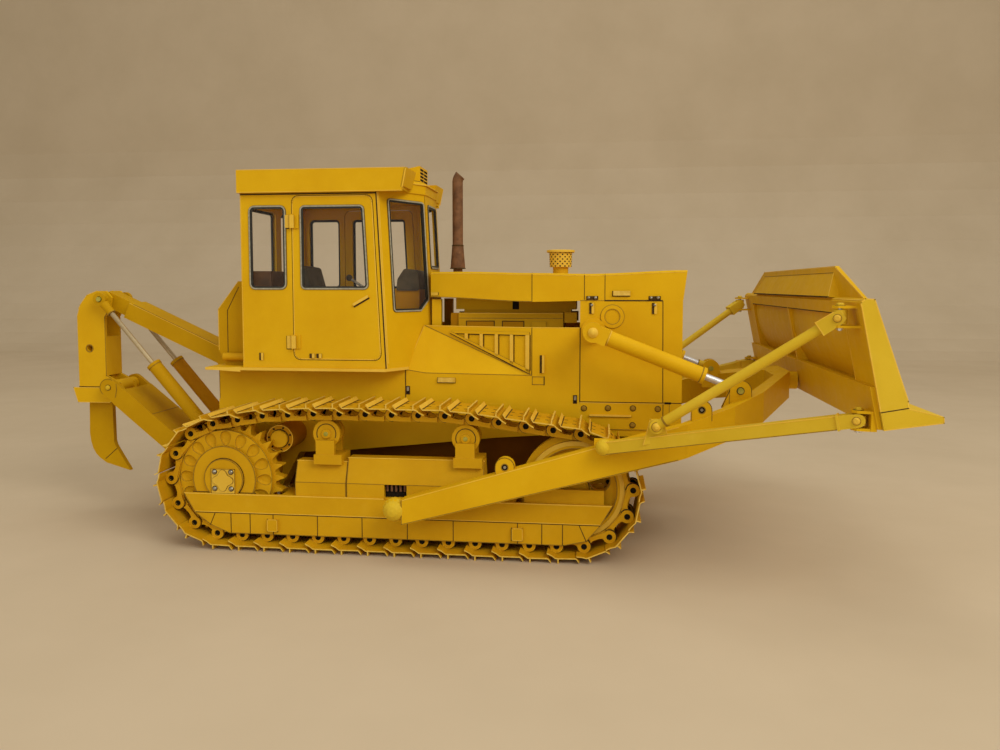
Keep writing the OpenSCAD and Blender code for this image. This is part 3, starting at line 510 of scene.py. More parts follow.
def rounded(g, r, n=5):
    out = []
    k = len(g)
    for i in range(k):
        p, q, s = Vector(g[i - 1]), Vector(g[i]), Vector(g[(i + 1) % k])
        a, b = (p - q).normalized(), (s - q).normalized()
        h = math.acos(max(-1.0, min(1.0, a.dot(b)))) / 2
        c = q + (a + b).normalized() * (r / math.sin(h))
        e, f = q + a * (r / math.tan(h)) - c, q + b * (r / math.tan(h)) - c
        t0 = math.atan2(e.y, e.x)
        dt = (math.atan2(f.y, f.x) - t0 + math.pi) % (2 * math.pi) - math.pi
        out += [(c.x + r * math.cos(t0 + dt * j / n), c.y + r * math.sin(t0 + dt * j / n)) for j in range(n + 1)]
    return out


def inset(g, d):
    k = len(g)
    s = 1 if signed(g) > 0 else -1
    out = []
    for i in range(k):
        p, q, r = g[i - 1], g[i], g[(i + 1) % k]
        n = []
        for a, b in ((p, q), (q, r)):
            l = math.dist(a, b)
            n.append((-(b[1] - a[1]) / l * s, (b[0] - a[0]) / l * s))
        w = d / (1 + n[0][0] * n[1][0] + n[0][1] * n[1][1])
        out.append((q[0] + (n[0][0] + n[1][0]) * w, q[1] + (n[0][1] + n[1][1]) * w))
    return out


def on_y(y):
    """Face looking to -y: (x, z, height off the face)."""
    return lambda a, b, h: (a, y - h, b)


def on_x(fx, n):
    """Face x = fx(y, z) with outward normal n: (y, z, height off the face)."""
    n = Vector(n).normalized()
    return lambda a, b, h: (fx(a, b) + n.x * h, a + n.y * h, b + n.z * h)


def axes(p, q):
    d = (Vector(q) - Vector(p)).normalized()
    w = d.cross(Vector((0, 0, 1))).normalized()
    return d, w, w.cross(d)


def along(p, q, off=0.0):
    """Bar from p to q: (distance along it, height across it, outward)."""
    d, w, u = axes(p, q)
    p = Vector(p)
    return lambda a, b, h: tuple(p + d * a + u * b + w * (off + h))


def pad(me, T, g, h0, h1, mat, rim=None):
    p = g if signed(g) > 0 else g[::-1]
    me.loft([[T(x, z, h0) for x, z in p], [T(x, z, h1) for x, z in p]], mat if rim is None else rim, cap_mat=mat)


def band(me, T, outer, inner, h0, h1, mat, wall=None):
    if signed(outer) < 0:
        outer, inner = outer[::-1], inner[::-1]
    w = mat if wall is None else wall
    k = len(outer)
    for i in range(k):
        j = (i + 1) % k
        a, b, c, d = outer[i], outer[j], inner[j], inner[i]
        me.add([T(*a, h1), T(*b, h1), T(*c, h1), T(*d, h1)], [(0, 1, 2, 3)], mat)
        me.add([T(*a, h0), T(*b, h0), T(*b, h1), T(*a, h1)], [(0, 1, 2, 3)], w)
        me.add([T(*c, h0), T(*d, h0), T(*d, h1), T(*c, h1)], [(0, 1, 2, 3)], w)
        me.add([T(*d, h0), T(*c, h0), T(*b, h0), T(*a, h0)], [(0, 1, 2, 3)], w)


def gasket(me, T, g):
    band(me, T, inset(g, -0.34), inset(g, -0.1), -0.05, 0.12, "olive")
    band(me, T, inset(g, -0.12), inset(g, 0.4), -0.2, 0.42, "grey", "rubber")
    band(me, T, inset(g, 0.38), inset(g, 1.0), -0.45, 0.2, "rubber")


def hoop(me, p, d, a0, a1, r0, r1, mat, seg=28):
    d = Vector(d).normalized()
    u = d.orthogonal().normalized()
    w = d.cross(u)
    p = Vector(p)
    an = [2 * math.pi * i / seg for i in range(seg)]
    R = lambda a, r: [tuple(p + d * a + (u * math.cos(t) + w * math.sin(t)) * r) for t in an]
    me.loft([R(a0, r1), R(a1, r1)], mat, caps=False, smooth=True)
    me.loft([R(a1, r0), R(a0, r0)], mat, caps=False, smooth=True)
    me.loft([R(a1, r1), R(a1, r0)], mat, caps=False)
    me.loft([R(a0, r0), R(a0, r1)], mat, caps=False)


def ln(me, pts, w=0.26, mat="line", y=-23.0, t=0.07):
    me.line([(x, y, z) for x, z in pts], N, w, mat, t)


def knob(me, x, z, r, h, y=-23.0, mat="yellow", seg=14, rim=True):
    me.turn((x, y, z), N, [(-0.2, r), (h * 0.4, r), (h * 0.85, r * 0.74), (h, r * 0.35)], mat, seg)
    # rim: a dark ring round the knob as its painted shadow
    if rim:
        me.ring((x, z), r, r + 0.22, y - 0.06, y + 0.05, "line", 18)


def ball(me, c, d, r, mat, seg=14, smooth=False):
    me.turn(c, d, [(r * math.sin(math.radians(t)), max(0.02, r * math.cos(math.radians(t)))) for t in (-90, -66, -40, -14, 14, 40, 66, 90)], mat, seg, smooth=smooth)


def grip(me, T, x0, x1, z0, z1, h=0.9):
    pad(me, T, rect(x0, x1, z0, z1), -0.1, h, "cream", rim="olive")
    # dark strips left of and below the grip: painted shadow
    pad(me, T, rect(x0 - 0.32, x1, z0 - 0.38, z0), -0.05, 0.12, "line")
    pad(me, T, rect(x0 - 0.32, x0, z0 - 0.38, z1), -0.05, 0.12, "line")


def arc(c, r, a0, a1, n=16):
    return [(c[0] + r * math.cos(math.radians(a0 + (a1 - a0) * i / n)), c[1] + r * math.sin(math.radians(a0 + (a1 - a0) * i / n))) for i in range(n + 1)]


# ------------------------------------------------------------------ body: seams, bolts, louvres, latches
S = on_y(-23.0)
bt = Mesh()
ln(bt, [(-8.0, 77.6), (-8.0, 51.2)], 0.3)
ln(bt, [(21.1, 87.3), (21.5, 51.2)], 0.28)
ln(bt, [(-8.0, 51.0), (28.0, 51.0)], 0.28)
ln(bt, [(-8.0, 50.68), (21.9, 50.68)], 0.22, "edge")
ln(bt, [(0.8, 87.5), (20.8, 87.5)], 0.5)
ln(bt, [(-8.0, 87.5), (0.6, 87.5)], 0.22, "olive")
pad(bt, S, rect(22.1, 24.4, 50.6, 51.3), -0.05, 0.12, "dark")
bt.ring((3.4, 81.8), 2.8, 4.1, -23.5, -22.9, "body", 40, edge="olive")
bt.ring((3.4, 81.8), 4.1, 4.3, -23.08, -22.9, "olive", 40)
bt.cyl((3.4, 81.8), 2.8, -23.18, -22.9, "body", 32)
bt.ring((3.4, 81.8), 2.64, 2.84, -23.53, -22.9, "olive", 32)
for x, z in ((-6.5, 48.6), (2.1, 48.8), (11.0, 48.9), (19.8, 48.8), (10.9, 42.8)):
    knob(bt, x, z, 0.92, 0.8, mat="olive")
pad(bt, S, rect(-4.5, 10.4, 45.9, 46.45), -0.1, 1.0, "edge", rim="edge")
# dark line under the ledge: painted shadow
ln(bt, [(-4.5, 45.72), (10.4, 45.72)], 0.26)
ln(bt, [(21.6, 50.5), (21.6, 41.2)], 0.26)
ln(bt, [(23.8, 50.5), (23.8, 41.2)], 0.2, "olive")
ln(bt, [(-8.0, 41.15), (28.0, 41.15)], 0.22, "olive")
# hood: card that sags between its ends, its front edge leaning forward at the top
def sag(x, pts):
    for (a, u), (b, v) in zip(pts, pts[1:]):
        if x <= b:
            t = max(0.0, (x - a) / (b - a))
            return u + (v - u) * t * t * (3 - 2 * t)
    return pts[-1][1]


def hood_top(x):
    return 98 + sag(x,((-64.4, 0.0), (-50.0, 0.0), (-25.4, -0.6), (-5.0, -0.95), (29.6, 0.3)))


def hood_low(x):
    return 87.7 + sag(x,((-64.4, 0.8), (-25.4, -0.7), (-8.1, -0.35)))


def hood_ring(x, b, hollow=False, lean=0.0):
    w, t = (14 + (x + 64.4) * 9 / 39 if x < -25.4 else 23.0), hood_top(x)
    half = [(w - 0.55, t), (w - 0.16, t - 0.16), (w, t - 0.55), (w, b)]
    if hollow:
        half += [(w - 1.1, b), (w - 1.1, t - 1.1)]
    ring = [(-y, z) for y, z in half] + [(y, z) for y, z in half[::-1]]
    return [(x + lean * (z - 92.85), y, z) for y, z in ring]


hd = Mesh()
hd.loft([hood_ring(x, hood_low(x)) for x in (-64.4, -63.3)], "body")
hd.loft([hood_ring(x, hood_low(x), True) for x in (-63.3, -60, -55, -50, -45, -40, -35, -30, -25.4, -20, -15, -11, -8.1)], "body")
hd.loft([hood_ring(x, 87.7) for x in (-8.1, -4, 0, 4, 8, 12, 16, 20, 24)] + [hood_ring(28.85, 87.7, lean=0.126)], "body")
hd.rod((-16.3, 0, 96.5), (-16.3, 0, 98.05), 2.9, "body", 32)
make("hood_sheet", hd, "tractor", None, hides=("hood",))
for x, zl in ((-25.4, 87.2), (-6.6, 87.9), (0.7, 87.9)):
    ln(bt, [(x, hood_top(x) - 0.5), (x, zl)], 0.22)
    bt.box(x - 0.11, x + 0.11, -22.5, 0.0, hood_top(x) - 0.05, hood_top(x) + 0.06, "line")
grip(bt, S, 3.6, 9.6, 89.3, 90.95)
for x in (-5.9, 16.1):
    pad(bt, S, rect(x, x + 4.2, 87.75, 89.1), -0.05, 0.25, "line")
    for dx in (0.1, 2.5):
        knob(bt, x + dx + 0.75, 88.5, 0.62, 1.0, -23.2, "steel", 10, False)
for x in (-4.8, 17.3):
    # dark strip down the strap's left side: painted shade
    pad(bt, S, rect(x, x + 0.85, 82.8, 86.7), -0.05, 0.3, "line")
    pad(bt, S, rounded(rect(x + 0.8, x + 1.75, 82.8, 86.7), 0.3), -0.05, 0.55, "edge", rim="olive")
    knob(bt, x + 0.88, 85.9, 0.5, 0.5, -23.5, "steel", 10, False)
HN = Vector((-9, -39, 0)).normalized()
TH = lambda a, b, h: (a + HN.x * h, -14 - (a + 64.4) * 9 / 39 + HN.y * h, b)
pad(bt, TH, rect(-64.1, -61.3, 89.2, 90.3), -0.05, 0.5, "edge", rim="line")
hx = [-64.3 + 38.7 * i / 12 for i in range(13)]
bt.line([TH(x, hood_low(x) + 0.15, 0) for x in hx], HN, 0.25, "olive")
# light lines just under the hood's rounded top fold: painted highlight
bt.line([TH(x, hood_top(x) - 0.68, 0) for x in hx], HN, 0.2, "edge")
ln(bt, [(x, hood_top(x) - 0.68) for x in (-25.2, -20, -15, -10, -5, 0, 5, 10, 15, 20, 25, 28.6)], 0.2, "edge")
# side panel
# upright handle: dark strip on its left as painted shadow
pad(bt, S, rect(-22.5, -21.6, 61.2, 67.7), -0.05, 0.25, "line")
pad(bt, S, rect(-21.65, -20.8, 61.3, 67.7), -0.1, 0.9, "edge", rim="yellow")
grip(bt, S, -60.0, -53.5, 57.4, 59.1)
bt.line([(x, -23.0, z) for x, z in rect(-25.2, -20.9, 57.0, 59.8)], N, 0.26, "olive", 0.1, True)
ln(bt, [(-20.9, 57.0), (-20.9, 59.8)], 0.36, "line", t=0.12)
for x, z in ((-10.4, 50.3), (-72.0, 52.7)):
    pad(bt, S, rect(x, x + 1.4, z, z + 3.1), -0.05, 0.22, "line")
    pad(bt, S, rounded(rect(x + 0.35, x + 1.15, z + 1.3, z + 2.9), 0.3), 0.2, 0.8, "steel")
    knob(bt, x + 0.7, z + 0.7, 0.42, 0.6, -23.1, "dark", 10, False)
ln(bt, [(-25.4, 60.4), (-25.4, 77.6)], 0.24)
ln(bt, [(-72.2, 61.9), (-64.9, 60.75), (-25.4, 60.3)], 0.24, "olive")
ln(bt, [(-72.2, 50.0), (-72.2, 61.8)], 0.26)
ln(bt, [(-25.3, 77.65), (-8.3, 77.65)], 0.24, "edge")
FN = Vector((-0.18886, -1, 0)).normalized()
TF = lambda a, b, h: (a + FN.x * h, -23 + 0.18886 * (-25.4 - a) + FN.y * h, b)
bt.line([TF(-66.3, 77.75, 0), TF(-25.5, 77.65, 0)], FN, 0.26, "edge")
LQ = Vector((-0.35, -0.94, 0.2))
bt.line([(-66.4, -15.35, 77.85), (-25.6, -22.98, 60.4)], LQ, 0.26, "olive", 0.1)
bt.line([(-72.2, -22.95, 62.0), (-66.7, -15.25, 77.9)], (-0.6, -0.75, 0.2), 0.3, "edge", 0.1)
zh = lambda x: 61.1 + (x + 26.2) * (75.7 - 61.1) / (-56.3 + 26.2)
pad(bt, TF, [(-56.3, 76.0), (-26.2, 76.0), (-26.2, 75.0), (-54.2, 75.2)], -0.05, 0.75, "yellow", rim="olive")
pad(bt, TF, [(-56.3, 75.95), (-26.2, zh(-26.2) + 1.3), (-26.2, zh(-26.2)), (-56.3, 75.3)], -0.05, 0.75, "yellow", rim="olive")
# dark strip under the louvre's sloped lower edge: painted shadow
bt.line([TF(-56.2, 75.05, 0), TF(-26.2, zh(-26.2) - 0.35, 0)], FN, 0.5, "line", 0.1)
for a, b in ((-50.6, -49.4), (-44.85, -43.65), (-39.1, -37.9), (-33.4, -32.2), (-27.6, -26.2)):
    pad(bt, TF, [(a, zh(a) + 0.2), (b, zh(b) + 0.2), (b, 75.2), (a, 75.2)], -0.05, 0.75, "edge", rim="yellow")
    # dark strip beside each slat and under the top rail: painted shade in the openings
    pad(bt, TF, [(b, zh(b) + 1.0), (b + 0.35, zh(b) + 0.9), (b + 0.35, 75.0), (b, 75.0)], -0.05, 0.15, "line")
    if b < -27:
        bt.line([TF(b, 74.9, 0), TF(b + 4.4, 74.8, 0)], FN, 0.34, "line", 0.12)
bt.line([TF(-55.4, 75.05, 0), TF(-50.7, 74.95, 0)], FN, 0.3, "line", 0.12)
# fuel tank and deck edges
ln(bt, [(-136.3, 92.2), (-140.9, 83.5), (-141.0, 67.4)], 0.24)
ln(bt, [(-144.5, 68.6), (-144.5, 83.9), (-136.5, 94.3)], 0.24, "edge")
bt.rod((-142.0, -24.4, 66.1), (-131.2, -24.4, 66.1), 1.5, "under", 18)
ln(bt, [(-144.6, 50.2), (-144.6, 62.8)], 0.24, "olive")
make("body_trim", bt, "tractor", None, both=True)

# side panel with its fold, and the thin deck with the foot of the cab on it
pn = Mesh()
pn.xz([(-72.4, 49.8), (-8.2, 49.8), (-8.2, 77.8), (-25.4, 77.8), (-25.4, 60.3), (-64.9, 60.75), (-72.4, 61.95)], -23.0, -21.9, "body")
FB, FE, FC, FD = (-66.7, -15.2, 78.0), (-64.9, -23.0, 60.75), (-25.4, -23.0, 60.3), (-25.4, -23.0, 77.8)
for tri in (((-72.4, -23.0, 61.95), FE, FB), (FE, FC, FB), (FC, FD, FB)):
    pn.loft([[(x, y + 1.1, z) for x, y, z in tri], list(tri)], "body")
hu = Mesh()
hu.xz([(-145, 16), (-121, 16), (-113.4, 30.1), (-94.5, 31.3), (-67, 34.1), (-38.3, 37.2), (-10.6, 39.3), (-8.1, 41.0), (-8.1, 49.8), (-145, 49.8)], -23.0, 0.0, "body")
hu.box(-144.7, -72.5, -23.0, 0.0, 49.8, 62.0, "body")
# narrow belly in dark brown: painted shade between hull and track frames
hu.xz([(-121, 15.5), (-8, 20), (4, 27), (4, 41), (-121, 41)], -14.0, 0.0, "cavity")
hu.box(-8.2, 21.6, -22.6, 0.0, 38.6, 41.2, "body")
# ripper brackets on the hull's rear in the darkened yellow: painted shade
hu.xz([(-144.9, 14.2), (-144.9, 18.4), (-150, 16.2), (-152.9, 15), (-154.2, 12), (-152.9, 9), (-150, 7.8), (-147, 9), (-146, 12)], -10.3, -8.3, "deep")
hu.box(-146.0, -144.0, -12.0, -6.0, 13.0, 19.0, "deep")
for y0, y1 in ((-6.0, -4.4), (-13.6, -12.0)):
    hu.box(-150, -144.9, y0, y1, 24, 30, "deep")
    hu.cyl((-150, 27), 3.0, y0 - 0.03, y1 + 0.03, "deep", 32)
hu.cyl((-150, 27), 1.0, -12.1, -5.9, "deep", 20)
hu.box(-150, -144.6, -7.8, -6.3, 56, 61.9, "deep")
hu.cyl((-150, 63.9), 3.4, -7.83, -6.27, "deep", 32)
hu.cyl((-150, 12), 1.4, -9.0, 0.0, "deep", 20)
hu.cyl((-150, 63.9), 1.2, -7.0, 0.0, "deep", 20)
make("hull", hu, "tractor", None, hides=("main_frame",), both=True)
make("panel_right", pn, "tractor", None, hides=("side_panel_right",))
make("panel_left", pn.mirror(), "tractor", None, hides=("side_panel_left",))
dk = Mesh()
dk.xy([(-145, -33.6), (-77.4, -33.6), (-71, -23.6), (-71, -20), (-65, -12), (-65, 0), (-145, 0)], 61.95, 62.95, "edge", cap_mat="body")
dk.box(-131.0, -76.62, -32.03, -31.0, 62.9, 65.1, "plain")
dk.box(-131.03, -130.0, -32.0, 0.0, 62.9, 65.1, "plain")
# foot of the fuel tank in the darkened yellow: painted shade
dk.box(-142.2, -131.0, -23.0, 0.0, 62.9, 64.55, "deep")
dk.xz([(-145.2, 62.2), (-131.5, 63.2), (-131.5, 61.4)], -33.75, -33.2, "edge")
DN = Vector((1, -12.5 / 21.5, 0.05)).normalized()
DT = on_x(lambda y, z: -76.6 - 0.05 * (z - 64.5) + 12.5 * (y + 32) / 21.5, DN)
pad(dk, DT, [(-32.0, 62.9), (-10.6, 62.9), (-10.6, 65.1), (-32.0, 65.1)], -0.6, 0.03, "plain")
make("deck", dk, "tractor", None, hides=("deck_plate",), both=True)

# ------------------------------------------------------------------ engine under the hood
en = Mesh()
en.box(-54.25, -14.65, -11.6, -8.3, 75.8, 82.64, "under")
en.box(-57.4, -54.2, -10.6, -8.3, 75.0, 82.5, "shade")
en.box(-14.2, -9.6, -11.4, -8.3, 79.0, 82.8, "under")
ES = on_y(-11.6)
for x0, x1 in ((-51.2, -40.6), (-37.5, -29.4)):
    pad(en, ES, rect(x0, x1, 77.0, 79.5), -0.05, 0.12, "shade")
    en.line([(x, -11.6, z) for x, z in rect(x0, x1, 77.0, 79.5)], N, 0.3, "line", 0.2, True)
pad(en, ES, rect(-26.4, -21.0, 77.0, 79.4), -0.05, 0.6, "under", rim="line")
ln(en, [(-54.0, 80.6), (-15.0, 80.6)], 0.25, "olive", -11.6)
ln(en, [(-54.0, 82.45), (-14.8, 82.45)], 0.25, "edge", -11.6)
en.box(-56.2, -34.3, -6.05, 0.0, 83.8, 88.03, "body")
en.box(-31.8, -10.0, -6.05, 0.0, 83.8, 88.03, "under")
# dark strip in the gap between the blocks: painted shade
en.box(-34.32, -31.78, -6.03, -5.8, 83.8, 88.02, "dark")
en.box(-64.2, -60.6, -13.1, -11.6, 66.0, 87.65, "body")
make("engine_trim", en, "tractor", None, both=True)

# ------------------------------------------------------------------ cab: seals, joints, hinges, roof lips
W = on_y(-32.0)
xs = lambda z: -76.6 - 0.05 * (z - 64.5)
xc = lambda z: -64.1 - 0.05 * (z - 64.5)
CN = Vector((1, -12.5 / 21.5, 0.05)).normalized()
TC = on_x(lambda y, z: xs(z) + 12.5 * (y + 32) / 21.5, CN)
TR = lambda a, b, h: (-131 - h, -a, b)
ct = Mesh()
gasket(ct, W, rounded(rect(-127.6, -113.9, 91.6, 121.5), 2.0))
gasket(ct, TC, rounded([(-28.1, 83.4), (-15.6, 83.4), (-11.6, 87.5), (-11.6, 124.0), (-28.1, 124.0)], 1.2))
gasket(ct, TR, rounded(rect(2.6, 27.8, 96.5, 121.5), 2.0))
# dark line and pale line along the cab's front crease: painted shade and painted highlight
ln(ct, [(xs(63.2) - 0.66, 63.2), (xs(126) - 0.66, 126.0)], 0.46, "line", -32.0)
ln(ct, [(xs(63.2) - 0.22, 63.2), (xs(126) - 0.22, 126.0)], 0.3, "edge", -32.0)
ct.line([TC(-31.7, 65.0, 0), TC(-31.7, 126.6, 0)], CN, 0.32, "edge", 0.1)
ct.line([TC(-10.8, 65.0, 0), TC(-10.8, 126.6, 0)], CN, 0.26, "olive", 0.08)
ln(ct, [(-130.7, 64.8), (-130.7, 126.0)], 0.22, "edge", -32.0)
# dark band on the wall under the roof: painted shadow
ln(ct, [(-130.6, 125.72), (-80.6, 125.72)], 0.5, "line", -32.0)
door_outline = rounded([(-111.5, 66), (-78.9, 66), (-81.79, 125), (-111.5, 125)], 2.4)
for a, b in zip(door_outline, door_outline[1:] + door_outline[:1]):
    ct.line([(a[0], -31.9, a[1]), (b[0], -31.9, b[1])], N, 0.34, "line", 0.04)
# hinges and latch on the wall: the dark strips on their left and lower sides are painted shadow
for z0 in (70.0, 113.6):
    pad(ct, W, rect(-113.9, -112.45, z0, z0 + 4.6), -0.05, 0.55, "edge", rim="olive")
    pad(ct, W, rect(-114.25, -113.9, z0 - 0.3, z0 + 4.6), -0.05, 0.12, "line")
    pad(ct, W, rect(-114.25, -112.45, z0 - 0.35, z0), -0.05, 0.12, "line")
pad(ct, W, rect(-124.7, -124.0, 65.6, 68.3), -0.05, 0.2, "line")
pad(ct, W, rect(-124.0, -123.1, 65.6, 68.3), -0.05, 0.4, "edge", rim="olive")
# roof
ln(ct, [(-131.2, 126.3), (-70.8, 126.3)], 0.26, "edge", -34.0)
ln(ct, [(-131.2, 134.15), (-69.0, 134.15)], 0.22, "edge", -34.0)
ln(ct, [(-70.25, 127.6), (-68.95, 134.0)], 0.4, "edge", -34.0)
ln(ct, [(-70.75, 127.6), (-69.45, 134.0)], 0.18, "olive", -34.0)
ct.line([(-131.2, -33.85, 134.3), (-69.0, -33.85, 134.3)], (0, 0, 1), 0.22, "edge")
ct.line([(-129.0, -31.5, 134.3), (-82.0, -31.5, 134.3), (-82.0, 0, 134.3)], (0, 0, 1), 0.22, "olive")
ct.line([(-129.0, -31.5, 134.3), (-129.0, 0, 134.3)], (0, 0, 1), 0.22, "olive")
ct.line([(-76.7, -18.7, 132.5), (-70.0, -7.1, 132.5)], (0.86, -0.5, 0.2), 0.25, "line", 0.1)
ct.line([(-71.4, -18.75, 130.5), (-66.35, -11.35, 130.5)], (0.82, -0.56, 0), 0.3, "edge", 0.08)
make("cab_trim", ct, "tractor", None, both=True)

cm = Mesh()
TW = on_x(lambda y, z: xc(z), (1, 0, 0.05))
gasket(cm, TW, rounded(rect(-7.4, 7.4, 99.5, 123.5), 1.5))
TV = on_x(lambda y, z: -69.9, (1, 0, 0))
for y0, y1 in ((-6.1, -0.6), (0.6, 6.1)):
    for z in (133.0, 134.3, 135.6, 136.9):
        # dark slots: painted shade
        pad(cm, TV, rect(y0, y1, z, z + 0.7), -0.05, 0.06, "dark")
        pad(cm, TV, rect(y0, y1, z + 0.7, z + 1.0), -0.05, 0.3, "edge")
cm.line([(-66.32, -11.2, 130.5), (-66.32, 11.2, 130.5)], (1, 0, 0), 0.3, "edge", 0.06)
make("windshield_trim", cm, "tractor", None)

dt = Mesh()
gasket(dt, W, rounded([(-108.3, 91.6), (-83.4, 91.6), (-84.9, 121.4), (-108.3, 121.4)], 1.6))
dt.line([(x, -32.0, z) for x, z in inset(door_outline, 0.25)], N, 0.26, "edge", 0.06, True)
TD = along((-89.0, -32.0, 85.9), (-83.2, -32.0, 89.2))
pad(dt, TD, rounded(rect(0, 6.5, -0.45, 0.45), 0.3), -0.05, 0.8, "edge", rim="yellow")
# dark strip under the handle: painted shadow
pad(dt, TD, rounded(rect(-0.25, 6.4, -1.0, -0.4), 0.25), -0.05, 0.16, "line")
for x in (-105.6, -103.0):
    # dark strip left of each catch: painted shadow
    pad(dt, W, rect(x, x + 1.0, 66.6, 68.2), -0.05, 0.3, "line")
    pad(dt, W, rect(x + 1.0, x + 2.0, 66.6, 68.2), -0.05, 0.6, "edge", rim="olive")
for z0 in (70.0, 113.4):
    hoop(dt, (-111.4, -32.7, z0), (0, 0, 1), 0.0, 5.0, 0.8, 0.86, "yellow", 16)
    pad(dt, on_y(-33.3), rect(-111.85, -110.2, z0 + 0.1, z0 + 4.7), 0.0, 0.3, "edge", rim="olive")
make("door_trim_right", dt, "door_right", None)
make("door_trim_left", dt.mirror(), "door_left", None)

# seat, console and lever seen through the windows
si = Mesh()
si.box(-118, -104, -8, 8, 64.5, 74, "seat")
si.xz(rounded(rect(-119, -102, 74, 79.5), 1.2), -9, 9, "seat")
si.xz(rounded([(-119.6, 79), (-113.4, 79), (-113.2, 92.6), (-115.2, 100.0), (-119.4, 100.9), (-121.4, 98.0)], 1.4), -9, 9, "seat")
for y in (-13.5, 11):
    si.xz(rounded(rect(-117, -104, 64.5, 84), 1.0), y, y + 2.5, "seat")
si.box(-129.3, -121.8, -27, 27, 90, 98.2, "brown")
make("seat_cushions", si, "tractor", None, hides=("operator_seat",))
co_ = Mesh()
co_.box(-81.7, -70.4, -7, 7, 64.5, 91.4, "shade")
co_.xz(rounded([(-79.4, 90.9), (-70.2, 90.9), (-70.8, 98.6), (-76.2, 99.4), (-78.9, 95.4)], 1.0), -7.6, 7.6, "seat")
co_.rod((-98.4, -5.0, 95.6), (-93.3, -5.0, 92.3), 0.5, "steel", 12)
co_.rod((-93.3, -5.0, 92.3), (-81.6, -5.0, 84.6), 0.5, "steel", 12)
ball(co_, (-98.9, -5.0, 95.9), (1, 0, 0.5), 1.3, "seat", 14, True)
for y in (-11, 11):
    co_.rod((-92, y * 0.92, 64.5), (-94, y, 88), 0.7, "seat", 12)
make("console_pod", co_, "tractor", None, hides=("control_console",))

# ------------------------------------------------------------------ exhaust and air cleaner
ex = Mesh()
hoop(ex, (-56.5, 0, 108.2), (0, 0, 1), 0.0, 0.45, 2.0, 2.32, "line", 28)
hoop(ex, (-56.5, 0, 99.4), (0, 0, 1), 0.0, 0.35, 2.6, 3.05, "line", 28)
XD = (0.669, 0, 0.743)
# dark disc in the pipe's mouth: painted shade
ex.turn((-55.47, 0, 135.53), XD, [(-0.1, 1.72), (0.06, 1.72)], "dark", 24)
hoop(ex, (-55.47, 0, 135.53), XD, -0.5, 0.12, 1.7, 2.14, "rust", 28)
make("exhaust_rings", ex, "tractor", None)
ac = Mesh()
AX = (-16.3, 0)
ac.turn((-16.3, 0, 98), (0, 0, 1), [(-0.2, 2.95), (2.1, 2.95)], "under", 32)
ac.turn((-16.3, 0, 98), (0, 0, 1), [(1.95, 4.15), (7.7, 4.38)], "pale", 48)
ac.turn((-16.3, 0, 98), (0, 0, 1), [(7.6, 5.35), (8.35, 5.4), (8.5, 5.15)], "pale", 48)
hoop(ac, (-16.3, 0, 98), (0, 0, 1), 7.45, 7.62, 4.3, 5.1, "olive", 40)
for k in range(7):
    z = 100.35 + 0.87 * k
    r = 4.16 + 0.22 * (z - 100) / 5.7
    for i in range(14):
        a = math.radians((i + (0.5 if k % 2 else 0)) * 360 / 14 - 90)
        n = Vector((math.cos(a), math.sin(a), 0))
        ac.turn(Vector((-16.3, 0, z)) + n * (r - 0.1), n, [(0, 0.31), (0.15, 0.31)], "line", 10)
make("air_cleaner_cup", ac, "tractor", None, hides=("air_cleaner",))

# ------------------------------------------------------------------ undercarriage
ut = Mesh()
G = on_y(-46.0)
ln(ut, [(-143.6, 12.25), (-0.6, 12.25)], 0.26, "line", -46.0)
ln(ut, [(-143.8, 12.55), (-0.4, 12.55)], 0.26, "edge", -46.0)
ln(ut, [(-147.7, 19.0), (-75.0, 19.0)], 0.36, "edge", -46.0)
ln(ut, [(-66.6, 19.0), (3.4, 19.0)], 0.36, "edge", -46.0)
ln(ut, [(-147.8, 18.9), (-143.9, 12.2), (-138, 7.9), (-131.2, 5.15), (-12.5, 5.15), (-5, 6.75), (-0.4, 12.1), (3.6, 18.9)], 0.24, "olive", -46.0)
ln(ut, [(-136.4, 12.1), (-138.2, 7.9)], 0.26, "line", -46.0)
ln(ut, [(-7.3, 12.1), (-4.9, 6.7)], 0.26, "line", -46.0)
for x in (-130.5, -123.4, -114.9, -98.7, -82.6, -66.5, -50.4, -28.2, -19.9, -12.9):
    ln(ut, [(x, 12.1), (x, 5.2)], 0.26, "line", -46.0)
for x in (-114.9, -28.2):
    ut.line([(a, -47.0, b) for a, b in rect(x - 1.75, x + 1.75, 6.45, 10.55)], N, 0.2, "edge", 0.05, True)
    # dark strips left of and below each lug: painted shadow
    pad(ut, G, rect(x - 2.2, x - 1.8, 6.0, 10.6), -0.05, 0.1, "line")
    pad(ut, G, rect(x - 2.2, x + 1.8, 6.0, 6.4), -0.05, 0.1, "line")
for x0, x1, top in ((-106.8, -88.5, 31.2), (-88.2, -40.0, 32.6)):
    for a, b in ((x0, min(x1, -75.0)), (max(x0, -66.6), x1)):
        if b > a:
            ln(ut, [(a, 24.0), (b, 24.0)], 0.22, "olive", -45.4)
    ut.line([(x0, -42.65, top - 0.05), (x1, -42.65, top - 0.05)], (0, -0.75, 0.66), 0.34, "edge")
    for x in (x0 + 0.1, x1 - 0.1):
        ut.line([(x, -45.4, 24.0), (x, -42.6, top)], (0, -0.93, 0.36), 0.2, "olive")
        ln(ut, [(x, 19.3), (x, 24.0)], 0.2, "olive", -45.4)
# dark box behind the spring window: painted shade
ut.box(-74.85, -66.75, -43.4, -42.5, 18.2, 23.95, "dark")
for k in range(5):
    ut.rod((-73.9 + k * 1.55, -44.0, 21.4), (-73.9 + k * 1.55, -44.0, 23.9), 0.42, "rust", 12)
